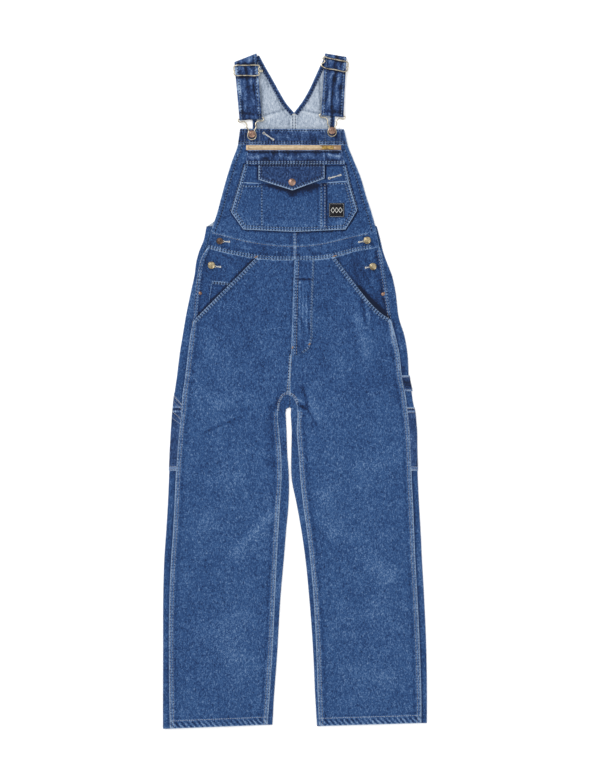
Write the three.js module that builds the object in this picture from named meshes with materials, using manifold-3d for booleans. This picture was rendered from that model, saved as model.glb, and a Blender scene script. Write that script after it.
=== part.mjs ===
// Denim dungarees laid flat on a surface, front up, with the straps folded forward and buckled to the bib.
// Millimetres. +X to the right as seen from above, +Y towards the shoulders, +Z up from the surface.
// Every cloth piece is a thin wall between an outer and an inner grid of points.
import * as THREE from "three";
import Module from "manifold-3d";
import { mergeVertices } from "three/addons/utils/BufferGeometryUtils.js";

// Driving dimensions
const denim = 1.2; // one layer of heavy denim
const hemmed = 0.8; // a folded edge or patch seen above the cloth it is sewn to
const seamGap = 0.3; // between pieces that are sewn together
const foldHeight = 4.2; // height of the legs where the cloth turns under at the sides
const crown = 1; // how much higher the middle of the garment stands
const pocketDepth = denim + seamGap; // how far the hand pocket facing lies under the front
const facingFade = { from: 4, to: 34 }; // how far beyond the mouth the facing rises to the front's level
const hipHalfWidth = 268; // half the crowned body's width at the crotch, and at the bib
const bibHalfWidth = 205;
const waistY = 303;
const crotchX = -11;
const legsJoin = { from: -10, to: 90 }; // where the two crowned legs become one crowned body
const bindingWidth = 10; // turned hems of the neck and the armholes
const bindingBottom = denim + seamGap;
const wireRadius = 1.1;
const strapLevel = 4.9; // middle of the strap's upper run
const strapUnder = 3.2; // middle of the strap's returning run

// Leg sections from hem to crotch: the folds at the silhouette and the seams of the front panel.
// yOuter and yInner are the heights of the section's two ends, because the hems slope a little.
const leftLeg = [
  { yOuter: -776, yInner: -767, outer: -302.6, outseam: -285.2, inseam: -63.4, inner: -51 },
  { yOuter: -690, yInner: -690, outer: -302.7, outseam: -286.8, inseam: -58, inner: -46.6 },
  { yOuter: -620, yInner: -620, outer: -302.4, outseam: -287.4, inseam: -53.4, inner: -41.2 },
  { yOuter: -460, yInner: -460, outer: -301.8, outseam: -285.8, inseam: -45.7, inner: -31.4 },
  { yOuter: -388, yInner: -388, outer: -299.6, outseam: -282.4, inseam: -42.3, inner: -25 },
  { yOuter: -320, yInner: -320, outer: -295, outseam: -277.8, inseam: -38.6, inner: -19.4 },
  { yOuter: -260, yInner: -260, outer: -291.4, outseam: -274.6, inseam: -35, inner: -14 },
  { yOuter: -200, yInner: -200, outer: -288.7, outseam: -271.9, inseam: -31.4, inner: -13 },
  { yOuter: -140, yInner: -140, outer: -286.3, outseam: -268.2, inseam: -32.6, inner: -17 },
  { yOuter: -92, yInner: -92, outer: -283.6, outseam: -264, inseam: -37, inner: -18.6 },
];
const rightLeg = [
  { yOuter: -763, yInner: -770, outer: 304, outseam: 290, inseam: 57.4, inner: 51.5 },
  { yOuter: -690, yInner: -690, outer: 304.2, outseam: 289.6, inseam: 54.2, inner: 46.8 },
  { yOuter: -620, yInner: -620, outer: 303.4, outseam: 287.4, inseam: 52.2, inner: 43.8 },
  { yOuter: -460, yInner: -460, outer: 297, outseam: 280.2, inseam: 43.8, inner: 32.4 },
  { yOuter: -388, yInner: -388, outer: 292.8, outseam: 276, inseam: 37.4, inner: 25.2 },
  { yOuter: -320, yInner: -320, outer: 289.6, outseam: 273.2, inseam: 29.4, inner: 15.6 },
  { yOuter: -260, yInner: -260, outer: 286, outseam: 270.8, inseam: 21, inner: 4.8 },
  { yOuter: -200, yInner: -200, outer: 283.2, outseam: 267.8, inseam: 14.6, inner: -6.8 },
  { yOuter: -140, yInner: -140, outer: 281.4, outseam: 265.8, inseam: 10.4, inner: -7.6 },
  { yOuter: -92, yInner: -92, outer: 280.8, outseam: 263.2, inseam: 6.4, inner: -6.8 },
];

// Around the end of the gap between the legs the back panel's inner edge climbs over the fold to the crotch
// point and then passes under to the back seam. faces is the way the fold looks, in degrees, and end is where
// the edge lies: on "top", at the "nose" of the fold, or "under" the garment.
const leftCrotch = [
  { y: -50, outer: -280.8, outseam: -259.8, endX: -38.9, endY: -50,
    foldX: -20.7, foldY: -50, faces: 0, end: "top" },
  { y: -38, outer: -279.5, outseam: -258.5, endX: -35, endY: -25,
    foldX: -20, foldY: -44, faces: -25, end: "top" },
  { y: -26, outer: -278.4, outseam: -257.6, endX: -25, endY: -12,
    foldX: -18.6, foldY: -41, faces: -50, end: "top" },
  { y: -14, outer: -277, outseam: -256.8, endX: -11.3, endY: -9.7,
    foldX: -16.6, foldY: -39.4, faces: -72, end: "top" },
  { y: -3, outer: -275.8, outseam: -255.4, endX: -11.3, endY: -26,
    foldX: -14, foldY: -38.9, faces: -84, end: "top" },
  { y: 7, outer: -274.4, outseam: -254, endX: -11.3, endY: -38.9,
    foldX: -11.3, foldY: -38.9, faces: -90, end: "nose" },
  { y: 18, outer: -272.8, outseam: -252.3, endX: -11.3, endY: -16,
    foldX: 0, foldY: 0, faces: 0, end: "under" },
];
const rightCrotch = [
  { y: -50, outer: 277.2, outseam: 259.2, endX: 7.4, endY: -46,
    foldX: -9.2, foldY: -50, faces: 180, end: "top" },
  { y: -38, outer: 274.8, outseam: 257.4, endX: 5.6, endY: -30,
    foldX: -8.2, foldY: -44, faces: 205, end: "top" },
  { y: -26, outer: 272.4, outseam: 255.9, endX: -1.5, endY: -16,
    foldX: -8, foldY: -41, faces: 230, end: "top" },
  { y: -14, outer: 270.4, outseam: 254.2, endX: -10.7, endY: -9.7,
    foldX: -8.4, foldY: -39.4, faces: 252, end: "top" },
  { y: -3, outer: 268.8, outseam: 252.6, endX: -10.7, endY: -26,
    foldX: -9.6, foldY: -38.9, faces: 264, end: "top" },
  { y: 7, outer: 267.2, outseam: 250.8, endX: -10.7, endY: -38.9,
    foldX: -10.7, foldY: -38.9, faces: 270, end: "nose" },
  { y: 18, outer: 264.6, outseam: 248.3, endX: -10.7, endY: -16,
    foldX: 0, foldY: 0, faces: 0, end: "under" },
];

// Hip sections from crotch to waist.
const leftHip = [
  { y: 30, outer: -271, outseam: -250.4, centre: -11 },
  { y: 95, outer: -262.8, outseam: -242.6, centre: -6.6 },
  { y: 130, outer: -257, outseam: -237.9, centre: -5.6 },
  { y: 163, outer: -251.6, outseam: -233.4, centre: -4.8 },
  { y: 232, outer: -237.6, outseam: -226.8, centre: -3 },
  { y: 267, outer: -230, outseam: -222.6, centre: -1.6 },
  { y: 297, outer: -226.1, outseam: -217, centre: -0.4 },
  { y: 320, outer: -219.9, outseam: -207.4, centre: 0 },
  { y: 346, outer: -209.4, outseam: -199.6, centre: 0 },
  { y: 378.8, outer: -202.5, outseam: -190, centre: 0 },
];
const rightHip = [
  { y: 30, outer: 262.6, outseam: 245.8, centre: -11 },
  { y: 95, outer: 258.4, outseam: 237.8, centre: -6.6 },
  { y: 130, outer: 251.8, outseam: 229.4, centre: -5.6 },
  { y: 163, outer: 241, outseam: 223.4, centre: -4.8 },
  { y: 232, outer: 231.4, outseam: 212.6, centre: -3 },
  { y: 267, outer: 223.4, outseam: 207.4, centre: -1.6 },
  { y: 297, outer: 211.6, outseam: 202.4, centre: -0.4 },
  { y: 320, outer: 203.6, outseam: 198.2, centre: 0 },
  { y: 346, outer: 197.4, outseam: 195, centre: 0 },
  { y: 378.8, outer: 189, outseam: 186.6, centre: 0 },
];

// The mouths of the hand pockets, from the side seam up to the waist.
const leftMouth = [
  { x: -233, y: 161 },
  { x: -202, y: 192.4 },
  { x: -172, y: 222.6 },
  { x: -142, y: 252.6 },
  { x: -89.7, y: 305 },
];
const rightMouth = [
  { x: 222, y: 163 },
  { x: 196, y: 181 },
  { x: 176, y: 200 },
  { x: 152, y: 229 },
  { x: 92, y: 308.4 },
];

// The largest creases of the cloth over the legs: a soft ridge from one point to another.
const creases = [
  { fromX: -48, fromY: -280, toX: -132, toY: -370, spread: 24, rise: 1 },
  { fromX: -196, fromY: -286, toX: -226, toY: -330, spread: 22, rise: 0.6 },
  { fromX: -168, fromY: -28, toX: -108, toY: -20, spread: 22, rise: 0.8 },
  { fromX: -238, fromY: 26, toX: -196, toY: -34, spread: 22, rise: 0.7 },
  { fromX: 34, fromY: -14, toX: 52, toY: -62, spread: 22, rise: 0.9 },
  { fromX: 146, fromY: 160, toX: 164, toY: 80, spread: 24, rise: 0.9 },
  { fromX: 180, fromY: -388, toX: 214, toY: -428, spread: 22, rise: 0.7 },
  { fromX: 66, fromY: -232, toX: 100, toY: -330, spread: 24, rise: 0.7 },
];

// Curves of the front's waist, left to right.
const waistSeam = [
  { x: -200.6, y: 329 },
  { x: -163.5, y: 319.6 },
  { x: -117.3, y: 310.2 },
  { x: -89.7, y: 305.4 },
  { x: -42, y: 301.8 },
  { x: 0, y: 301.6 },
  { x: 50, y: 302.8 },
  { x: 92, y: 309 },
  { x: 129, y: 319.4 },
  { x: 194.6, y: 331.6 },
];
const waistTop = [
  { x: -192.6, y: 367 },
  { x: -163.5, y: 359.4 },
  { x: -117.3, y: 347.6 },
  { x: -55.7, y: 338 },
  { x: 0, y: 334.4 },
  { x: 67.4, y: 341 },
  { x: 129, y: 355.8 },
  { x: 188.2, y: 367.4 },
];
const bibLeftEdge = [
  { x: -192.8, y: 367.4 },
  { x: -179.6, y: 404 },
  { x: -168.6, y: 444 },
  { x: -158, y: 483 },
  { x: -144.2, y: 527 },
  { x: -130.4, y: 565 },
  { x: -125.2, y: 602.6 },
];
const bibRightEdge = [
  { x: 188.4, y: 367.8 },
  { x: 176.4, y: 411 },
  { x: 165.2, y: 445 },
  { x: 152, y: 490 },
  { x: 134.6, y: 533 },
  { x: 120.8, y: 568 },
  { x: 113.6, y: 601.6 },
];

// The back above the waist: armhole edges and the V of the neck, from the waist up to the shoulders.
const leftArmhole = [
  { x: -201, y: 379.2 },
  { x: -168, y: 404 },
  { x: -128, y: 450 },
  { x: -104, y: 520 },
  { x: -96.4, y: 600 },
  { x: -98, y: 634 },
  { x: -108, y: 680 },
  { x: -124, y: 716 },
  { x: -137.6, y: 745 },
];
const rightArmhole = [
  { x: 188, y: 379.2 },
  { x: 158, y: 404 },
  { x: 122, y: 450 },
  { x: 99, y: 520 },
  { x: 92, y: 600 },
  { x: 93, y: 634 },
  { x: 99, y: 680 },
  { x: 108, y: 716 },
  { x: 118.4, y: 757.6 },
];
const leftNeck = [
  { x: -1.2, y: 640 },
  { x: -20.6, y: 663.5 },
  { x: -35.2, y: 688.2 },
  { x: -50.6, y: 716 },
  { x: -66, y: 743 },
  { x: -81.6, y: 772 },
];
const rightNeck = [
  { x: -1.2, y: 640 },
  { x: 21.8, y: 671.8 },
  { x: 33.6, y: 693 },
  { x: 44.4, y: 716 },
  { x: 57.6, y: 745 },
  { x: 70.6, y: 771 },
];

// The straps' side edges seen from above, between the fold at the shoulder and the fold round the hook.
const leftStrap = {
  leftTop: { x: -138.4, y: 756 },
  leftHook: { x: -126.4, y: 622.5 },
  rightTop: { x: -87.4, y: 776 },
  rightHook: { x: -75.2, y: 626 },
  slider: { x: -110.4, y: 736.4, tilt: 0 },
  hookSlope: 0.068,
};
const rightStrap = {
  leftTop: { x: 70, y: 776 },
  leftHook: { x: 61.2, y: 634.5 },
  rightTop: { x: 119, y: 767.6 },
  rightHook: { x: 112.2, y: 629.5 },
  slider: { x: 94, y: 749.6, tilt: -11.5 },
  hookSlope: -0.098,
};
// The strap's path: how far each station is from the shoulder fold or from the hook fold, its height, and how
// much of the raised stitched edges it shows.
const strapPath = [
  { from: "top", away: 4.4, z: 0.6, relief: 0 },
  { from: "top", away: 2.9, z: 0.6, relief: 0 },
  { from: "top", away: 1.2, z: 1.1, relief: 0 },
  { from: "top", away: 0, z: 2.9, relief: 0 },
  { from: "top", away: 1.2, z: 4.7, relief: 0 },
  { from: "top", away: 5, z: 5.4, relief: 0.5 },
  { from: "top", away: 11, z: 5.9, relief: 0.6 },
  { from: "top", away: 20, z: 6.6, relief: 0 },
  { from: "top", away: 43, z: 6.6, relief: 0 },
  { from: "top", away: 56, z: 5.3, relief: 0.7 },
  { from: "top", away: 78, z: strapLevel, relief: 1 },
  { from: "hook", away: 44, z: strapLevel, relief: 1 },
  { from: "hook", away: 22, z: 5.7, relief: 1 },
  { from: "hook", away: 9, z: 7, relief: 0.5 },
  { from: "hook", away: 2.2, z: 7.3, relief: 0 },
  { from: "hook", away: 0.3, z: 6.4, relief: 0 },
  { from: "hook", away: 0, z: 5.25, relief: 0 },
  { from: "hook", away: 0.3, z: 4.1, relief: 0 },
  { from: "hook", away: 2.2, z: strapUnder, relief: 0 },
  { from: "hook", away: 22, z: strapUnder, relief: 0 },
  { from: "hook", away: 50, z: strapUnder, relief: 0 },
  { from: "top", away: 78, z: strapUnder, relief: 0 },
  { from: "top", away: 48, z: strapUnder, relief: 0 },
];
const strapColumns = [
  { across: 0, raise: 0.1 },
  { across: 0.15, raise: 0.5 },
  { across: 0.5, raise: -0.1 },
  { across: 0.85, raise: 0.5 },
  { across: 1, raise: 0.1 },
];

// Bib furniture, from the top down.
const bandBottom = 565.4;
const zipTape = { left: -111.3, right: 106.7, bottom: 554, top: 565 };
const zipPanel = {
  topLeft: -107.6, topRight: 108.1, top: 553.6,
  bottomLeft: -113.2, bottomRight: 115.3, bottom: 522,
};
const pocketLeft = [
  { x: -117.8, y: 371.6 },
  { x: -145.6, y: 411 },
  { x: -127.4, y: 471 },
  { x: -113.4, y: 521.4 },
];
const pocketRight = [
  { x: 116.8, y: 371.6 },
  { x: 143.3, y: 415 },
  { x: 126, y: 474 },
  { x: 115.5, y: 521.4 },
];
const pocketBottomY = 366;
const mouthLeftY = 480;
const mouthMiddleY = 474;
const mouthRightY = 483;
const flap = {
  left: -82.6, right: 68.6, top: 520.8,
  cornerLeft: 485.6, cornerRight: 488.4, tipX: -4.8, tipY: 460.8,
};
const label = { left: 78.6, right: 114.6, bottom: 399, top: 432 };
const coin = {
  topLeft: { x: -190, y: 254 }, topRight: { x: -146, y: 250 },
  bottomLeft: { x: -199, y: 197.6 }, bottomRight: { x: -196.6, y: 199.4 },
};
const flyLeft = [
  { x: -4.6, y: 82 },
  { x: -4.2, y: 106 },
  { x: -3.4, y: 170 },
  { x: -2, y: 232 },
  { x: 0.8, y: 300.6 },
];
const flyRight = [
  { x: 12, y: 83.6 },
  { x: 30, y: 96 },
  { x: 37.6, y: 120 },
  { x: 40, y: 209 },
  { x: 43.5, y: 301.4 },
];

// Heights of the layers on the bib, above the bib's own surface.
const layer = { patch: seamGap, pocket: 1.4, flap: 2.7 };

// Metal fittings. Buttons stand on the cloth named by their level.
const buttonSizes = { headRadius: 8.5, headBottom: 1.6, headTop: 4.6, shankRadius: 3.2 };
const bibButtonLift = 2.7; // room for the hook's ring under the head
const buttons = [
  { name: "button_bib_left", x: -98, y: 590, above: hemmed + seamGap + 0.2, lift: bibButtonLift },
  { name: "button_bib_right", x: 86, y: 597.6, above: hemmed + seamGap + 0.2, lift: bibButtonLift },
  { name: "button_side_upper_left", x: -172, y: 344.6, above: 0, lift: 0 },
  { name: "button_side_upper_right", x: 166.8, y: 346.4, above: 0, lift: 0 },
  { name: "button_side_lower_left", x: -191, y: 289, above: 0, lift: 0 },
  { name: "button_side_lower_right", x: 180, y: 286, above: 0, lift: 0 },
];
const snap = { x: -5.8, y: 479.6, radius: 8.3, height: 2.6 };
const rivets = [
  { name: "rivet_left", x: -216.8, y: 225 },
  { name: "rivet_right", x: 203, y: 223 },
];
const rivetSizes = { radius: 4, height: 1.6 };
const hookHalf = [
  { x: 0, y: 36.8, z: 5.2 },
  { x: 25.4, y: 36.8, z: 5.2 },
  { x: 29.6, y: 34.6, z: 5.2 },
  { x: 28, y: 30.6, z: 5.6 },
  { x: 15, y: 29, z: 6.6 },
  { x: 10.8, y: 24.6, z: 8 },
  { x: 10.4, y: 15, z: 8.9 },
  { x: 6.4, y: 8.4, z: 8.7 },
  { x: 8.6, y: 1.6, z: 8.6 },
  { x: 9.3, y: -4.4, z: 8.6 },
  { x: 6.6, y: -10, z: 8.6 },
  { x: 0, y: -12.4, z: 8.6 },
];
const sliderHalf = [
  { x: 0, y: 11.6, z: 8.8 },
  { x: 23, y: 11.6, z: 8.8 },
  { x: 28.4, y: 8.8, z: 7.8 },
  { x: 29, y: 4.4, z: 6 },
  { x: 28.8, y: 0, z: 5 },
];
const sliderBar = { halfLength: 29.5, halfWidth: 1.8, bottom: 4.1, top: 5.5 };
const zipSlider = { x: 68.4, y: 559.5, length: 12, width: 8.4, bodyBottom: 1.2, bodyTop: 4.2 };
const pull = {
  barX: 71.2, barRadius: 0.7, barRise: 2.2,
  earLength: 2.8, earThickness: 0.9, earHalfGap: 2.15, earAbove: 1.4, earSunk: 0.4,
  eyeInner: 1.1, eyeOuter: 1.9, eyeHalfWidth: 1.8,
  length: 19, halfWidth: 3.4, thickness: 1.2, slotHalfWidth: 1.4, slotNear: 8, slotFar: 4, tilt: 14,
};

// Tool pockets on the back panel, seen past the side seams, and the hammer loop.
const toolPocket = { bottom: -183, topLeftAtSeam: -30, topLeftAtFold: -4, topRight: -37 };
const hammerLoop = { bottom: 0, top: 36, stand: 3.6 };

const group = new THREE.Group();
const wasm = await Module();
wasm.setup();

const denimBlue = new THREE.MeshStandardMaterial({ color: 0x2f5590, roughness: 0.9, metalness: 0 });
const denimDark = new THREE.MeshStandardMaterial({ color: 0x284a80, roughness: 0.9, metalness: 0 });
const denimReverse = new THREE.MeshStandardMaterial({ color: 0xaab4c9, roughness: 0.95, metalness: 0 });
const labelBlack = new THREE.MeshStandardMaterial({ color: 0x17171a, roughness: 0.8, metalness: 0 });
const tapeBeige = new THREE.MeshStandardMaterial({ color: 0xd6b48b, roughness: 0.85, metalness: 0 });
const brass = new THREE.MeshStandardMaterial({ color: 0x8c7a52, roughness: 0.4, metalness: 1 });

const smooth = (low, high, value) => THREE.MathUtils.smoothstep(value, low, high);
const mix = (a, b, share) => a + (b - a) * share;
const mixPoint = (a, b, share) => ({ x: mix(a.x, b.x, share), y: mix(a.y, b.y, share) });

// The value of a table's column at a height y, in straight lines between rows.
function atHeight(rows, yName, column, y) {
  if (y <= rows[0][yName]) return rows[0][column];
  for (let i = 1; i < rows.length; i++) {
    if (y > rows[i][yName]) continue;
    const share = (y - rows[i - 1][yName]) / (rows[i][yName] - rows[i - 1][yName]);
    return mix(rows[i - 1][column], rows[i][column], share);
  }
  return rows[rows.length - 1][column];
}

// The point of a polyline of points at a share of its index length, so that its corners are kept.
function along(points, share) {
  const place = share * (points.length - 1);
  const i = Math.min(Math.floor(place), points.length - 2);
  return mixPoint(points[i], points[i + 1], place - i);
}

// The height of a curve of points, left to right, at x.
function curveY(points, x) {
  return atHeight(points, "x", "y", x);
}

// The part of a curve between two x values, with the curve's own points in between.
function curvePart(points, fromX, toX, lift) {
  const inside = points.filter((p) => p.x > fromX + 4 && p.x < toX - 4);
  const ends = [fromX, toX].map((x) => ({ x, y: curveY(points, x) }));
  return [ends[0], ...inside, ends[1]].map((p) => ({ x: p.x, y: p.y + lift }));
}

function distanceToLine(x, y, a, b) {
  const dx = b.x - a.x;
  const dy = b.y - a.y;
  const share = THREE.MathUtils.clamp(((x - a.x) * dx + (y - a.y) * dy) / (dx * dx + dy * dy), 0, 1);
  return Math.hypot(x - a.x - share * dx, y - a.y - share * dy);
}

// The soft ridges of the cloth at a place.
function creaseHeight(x, y) {
  let height = 0;
  for (const c of creases) {
    const away = distanceToLine(x, y, { x: c.fromX, y: c.fromY }, { x: c.toX, y: c.toY });
    height += c.rise * Math.exp(-((away / c.spread) ** 2));
  }
  return height;
}

// The height of the garment's upper surface: each leg is crowned, and so is the body above the crotch.
function topHeight(x, y) {
  const leg = x < crotchX ? leftLeg : rightLeg;
  const outer = atHeight(leg, "yOuter", "outer", y);
  const inner = atHeight(leg, "yOuter", "inner", y);
  const across = THREE.MathUtils.clamp((x - outer) / (inner - outer), 0, 1);
  const legShare = 4 * across * (1 - across);
  const half = mix(hipHalfWidth, bibHalfWidth, smooth(0, waistY, y));
  const bodyShare = Math.max(0, 1 - (x / half) ** 2);
  const body = smooth(legsJoin.from, legsJoin.to, y);
  return foldHeight + crown * mix(legShare, bodyShare, body) + creaseHeight(x, y);
}

// How far the facing of a hand pocket lies below the front: deepest at the mouth, level at the side seam.
function facingDrop(x, y, mouth) {
  let away = Infinity;
  for (let i = 1; i < mouth.length; i++)
    away = Math.min(away, distanceToLine(x, y, mouth[i - 1], mouth[i]));
  const side = Math.sign(mouth[0].x);
  const outside = side * (x - mouthX(mouth, y)) > 0;
  return pocketDepth * (outside ? 1 - smooth(facingFade.from, facingFade.to, away) : 1);
}

function mouthX(mouth, y) {
  return atHeight(mouth, "y", "x", y);
}

// A closed wall from a grid of outer points and a grid of inner points, rows of equal length.
function wall(outer, inner) {
  const rows = outer.length;
  const columns = outer[0].length;
  const position = [...outer, ...inner].flatMap((row) => row.flatMap((p) => [p.x, p.y, p.z]));
  const index = [];
  const at = (side, r, c) => side * rows * columns + r * columns + c;
  const quad = (a, b, c, d) => index.push(a, b, c, a, c, d);
  for (let r = 0; r + 1 < rows; r++)
    for (let c = 0; c + 1 < columns; c++) {
      quad(at(0, r, c), at(0, r, c + 1), at(0, r + 1, c + 1), at(0, r + 1, c));
      quad(at(1, r, c), at(1, r + 1, c), at(1, r + 1, c + 1), at(1, r, c + 1));
    }
  for (let c = 0; c + 1 < columns; c++) {
    quad(at(0, 0, c), at(1, 0, c), at(1, 0, c + 1), at(0, 0, c + 1));
    quad(at(0, rows - 1, c + 1), at(1, rows - 1, c + 1), at(1, rows - 1, c), at(0, rows - 1, c));
  }
  for (let r = 0; r + 1 < rows; r++) {
    quad(at(0, r + 1, 0), at(1, r + 1, 0), at(1, r, 0), at(0, r, 0));
    quad(at(0, r, columns - 1), at(1, r, columns - 1), at(1, r + 1, columns - 1), at(0, r + 1, columns - 1));
  }
  const geometry = new THREE.BufferGeometry();
  geometry.setAttribute("position", new THREE.Float32BufferAttribute(position, 3));
  geometry.setIndex(index);
  return outwards(geometry);
}

// Turns a closed geometry's faces round if they point inwards.
function outwards(geometry) {
  const p = geometry.getAttribute("position");
  const index = geometry.index.array;
  const corner = (i) => new THREE.Vector3().fromBufferAttribute(p, index[i]);
  let volume = 0;
  for (let i = 0; i < index.length; i += 3) volume += corner(i).dot(corner(i + 1).cross(corner(i + 2)));
  if (volume < 0)
    for (let i = 0; i < index.length; i += 3) [index[i + 1], index[i + 2]] = [index[i + 2], index[i + 1]];
  geometry.computeVertexNormals();
  return geometry;
}

function add(name, geometry, material, parent = group) {
  const mesh = new THREE.Mesh(geometry, material);
  mesh.name = name;
  parent.add(mesh);
  return mesh;
}

// A flat piece bounded by four curves in plan, blended between them. height gives its upper surface.
function flatPiece(name, { left, right, bottom, top, across, rise, height, thick, material }) {
  const low = bottom ?? [left[0], right[0]];
  const high = top ?? [left[left.length - 1], right[right.length - 1]];
  const outer = [];
  for (let r = 0; r <= rise; r++) {
    const v = r / rise;
    const row = [];
    for (let c = 0; c <= across; c++) {
      const u = c / across;
      const sides = mixPoint(along(left, v), along(right, v), u);
      const ends = mixPoint(along(low, u), along(high, u), v);
      const lowChord = mixPoint(low[0], low[low.length - 1], u);
      const highChord = mixPoint(high[0], high[high.length - 1], u);
      const corners = mixPoint(lowChord, highChord, v);
      const x = sides.x + ends.x - corners.x;
      const y = sides.y + ends.y - corners.y;
      row.push({ x, y, z: height(x, y) });
    }
    outer.push(row);
  }
  const inner = outer.map((row) => row.map((p) => ({ x: p.x, y: p.y, z: p.z - thick })));
  return add(name, wall(outer, inner), material);
}

// Moves a grid of points along its own normals, by a distance that is positive away from the first side.
function offsetGrid(grid, distance) {
  const vector = (p) => new THREE.Vector3(p.x, p.y, p.z);
  return grid.map((row, r) =>
    row.map((p, c) => {
      const across = vector(row[Math.min(c + 1, row.length - 1)]).sub(vector(row[Math.max(c - 1, 0)]));
      const rise = vector(grid[Math.min(r + 1, grid.length - 1)][c]).sub(vector(grid[Math.max(r - 1, 0)][c]));
      const normal = across.cross(rise).normalize().multiplyScalar(distance);
      return { x: p.x + normal.x, y: p.y + normal.y, z: p.z + normal.z };
    }),
  );
}

// Where a section of the back has its last points: under the body, before the nose of the crotch's fold, and
// round that nose, in radians. underCells is the number of cells between the folds on the underside.
const underEnd = [22, 16, 11, 7, 3, 0];
const noseRun = [10, 5];
const noseTurns = [0, 0.5, 1, Math.PI / 2];
const underCells = 5;

// One section of a back leg panel: from the side seam on top, round the outer fold, along the underside and,
// below the crotch, round the inner fold and back up to the inseam. Each point has the way into the cloth.
function backSection(row, side) {
  const r = foldHeight / 2;
  const turns = [0, 60, 120, 180].map((d) => THREE.MathUtils.degToRad(d));
  const down = { x: 0, y: 0, z: -1 };
  const up = { x: 0, y: 0, z: 1 };
  const seam = { x: row.outseam + side * seamGap, y: row.y };
  const outerCentre = { x: row.outer - side * r, y: row.y };
  const points = [{ ...seam, z: topHeight(seam.x, seam.y), into: down }];
  points.push({ ...mixPoint(seam, outerCentre, 0.5), z: mix(points[0].z, foldHeight, 0.5), into: down });
  for (const a of turns) points.push(onFold(outerCentre, { x: side, y: 0 }, Math.PI - a));
  const tail = [];
  if (row.end === "under") {
    for (const away of underEnd) tail.push({ x: row.endX + side * away, y: row.endY, z: 0, into: up });
  } else {
    const faces = THREE.MathUtils.degToRad(row.faces);
    const look = { x: Math.cos(faces), y: Math.sin(faces) };
    const centre = { x: row.foldX - look.x * r, y: row.foldY - look.y * r };
    if (row.end === "nose") {
      for (const away of noseRun) tail.push({ x: centre.x + side * away, y: centre.y + 3, z: 0, into: up });
      for (const a of noseTurns) tail.push(onFold(centre, look, a));
    } else {
      for (const a of turns) tail.push(onFold(centre, look, a));
      const end = { x: row.endX, y: row.endY };
      tail.push({ ...mixPoint(centre, end, 0.5), z: foldHeight, into: down });
      tail.push({ ...end, z: mix(foldHeight, topHeight(end.x, end.y), 0.5), into: down });
    }
  }
  const start = points[points.length - 1];
  for (let i = 1; i < underCells; i++)
    points.push({ ...mixPoint(start, tail[0], i / underCells), z: 0, into: up });
  return [...points, ...tail];
}

// A point of a fold that looks along look: turn is 0 underneath, a quarter at the nose and a half on top.
function onFold(centre, look, turn) {
  const r = foldHeight / 2;
  const out = { x: look.x * Math.sin(turn), y: look.y * Math.sin(turn), z: -Math.cos(turn) };
  return {
    x: centre.x + out.x * r,
    y: centre.y + out.y * r,
    z: r + out.z * r,
    into: { x: -out.x, y: -out.y, z: -out.z },
  };
}

// Moves the points of sections along the way into the cloth.
function moveInto(rows, distance) {
  return rows.map((row) => row.map((p) => ({
    x: p.x + p.into.x * distance,
    y: p.y + p.into.y * distance,
    z: p.z + p.into.z * distance,
  })));
}

// All the sections of one back leg, from the hem to the waist.
function backLegRows(leg, crotch, hip, side) {
  const inward = side < 0 ? 0 : 180;
  const below = leg.map((s) => ({
    y: s.yOuter, outer: s.outer, outseam: s.outseam,
    endX: s.inseam + (side < 0 ? seamGap : -seamGap), endY: s.yInner,
    foldX: s.inner, foldY: s.yInner, faces: inward, end: "top",
  }));
  const above = hip.map((s) => ({
    y: s.y, outer: s.outer, outseam: s.outseam,
    endX: s.centre + side * seamGap, endY: s.y, foldX: 0, foldY: 0, faces: 0, end: "under",
  }));
  return [...below, ...crotch, ...above];
}

function backLeg(name, leg, crotch, hip, side) {
  const outer = backLegRows(leg, crotch, hip, side).map((row) => backSection(row, side));
  return add(name, wall(outer, moveInto(outer, denim)), denimBlue);
}

// A front leg: from side seam to inseam below the crotch, then to the centre seam, and at last from the
// pocket's mouth to the centre.
function frontLeg(name, leg, crotch, hip, mouth, side) {
  const gap = side * seamGap;
  const lead = 12; // above the crotch the grid's rows rise by this much towards the centre seam
  const pairs = leg.map((s) => ({
    outside: { x: s.outseam - gap, y: s.yOuter },
    inside: { x: s.inseam + gap, y: s.yInner },
  }));
  for (const s of crotch.filter((c) => c.end === "top").slice(0, 4))
    pairs.push({ outside: { x: s.outseam - gap, y: s.y }, inside: { x: s.endX + gap, y: s.endY + seamGap } });
  for (const s of hip.filter((h) => h.y < mouth[0].y - 20))
    pairs.push({ outside: { x: s.outseam - gap, y: s.y }, inside: { x: s.centre + gap, y: s.y + lead } });
  const top = curveY(waistSeam, crotchX / 2) - seamGap;
  const first = pairs[pairs.length - 1].inside.y;
  mouth.forEach((m, i) => {
    const y = mix(first, top, (i + 1) / mouth.length);
    const inside = { x: atHeight(hip, "y", "centre", y) + gap, y };
    pairs.push({ outside: { x: m.x - gap, y: m.y - seamGap }, inside });
  });
  const left = pairs.map((p) => (side < 0 ? p.outside : p.inside));
  const right = pairs.map((p) => (side < 0 ? p.inside : p.outside));
  const waist = side < 0 ? [mouth[4].x, 0] : [0, mouth[4].x];
  const seam = curvePart(waistSeam, waist[0], waist[1], -seamGap);
  seam[0] = left[left.length - 1];
  seam[seam.length - 1] = right[right.length - 1];
  return flatPiece(name, {
    left, right, top: seam, across: 8, rise: pairs.length - 1,
    height: topHeight, thick: denim, material: denimBlue,
  });
}

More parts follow.
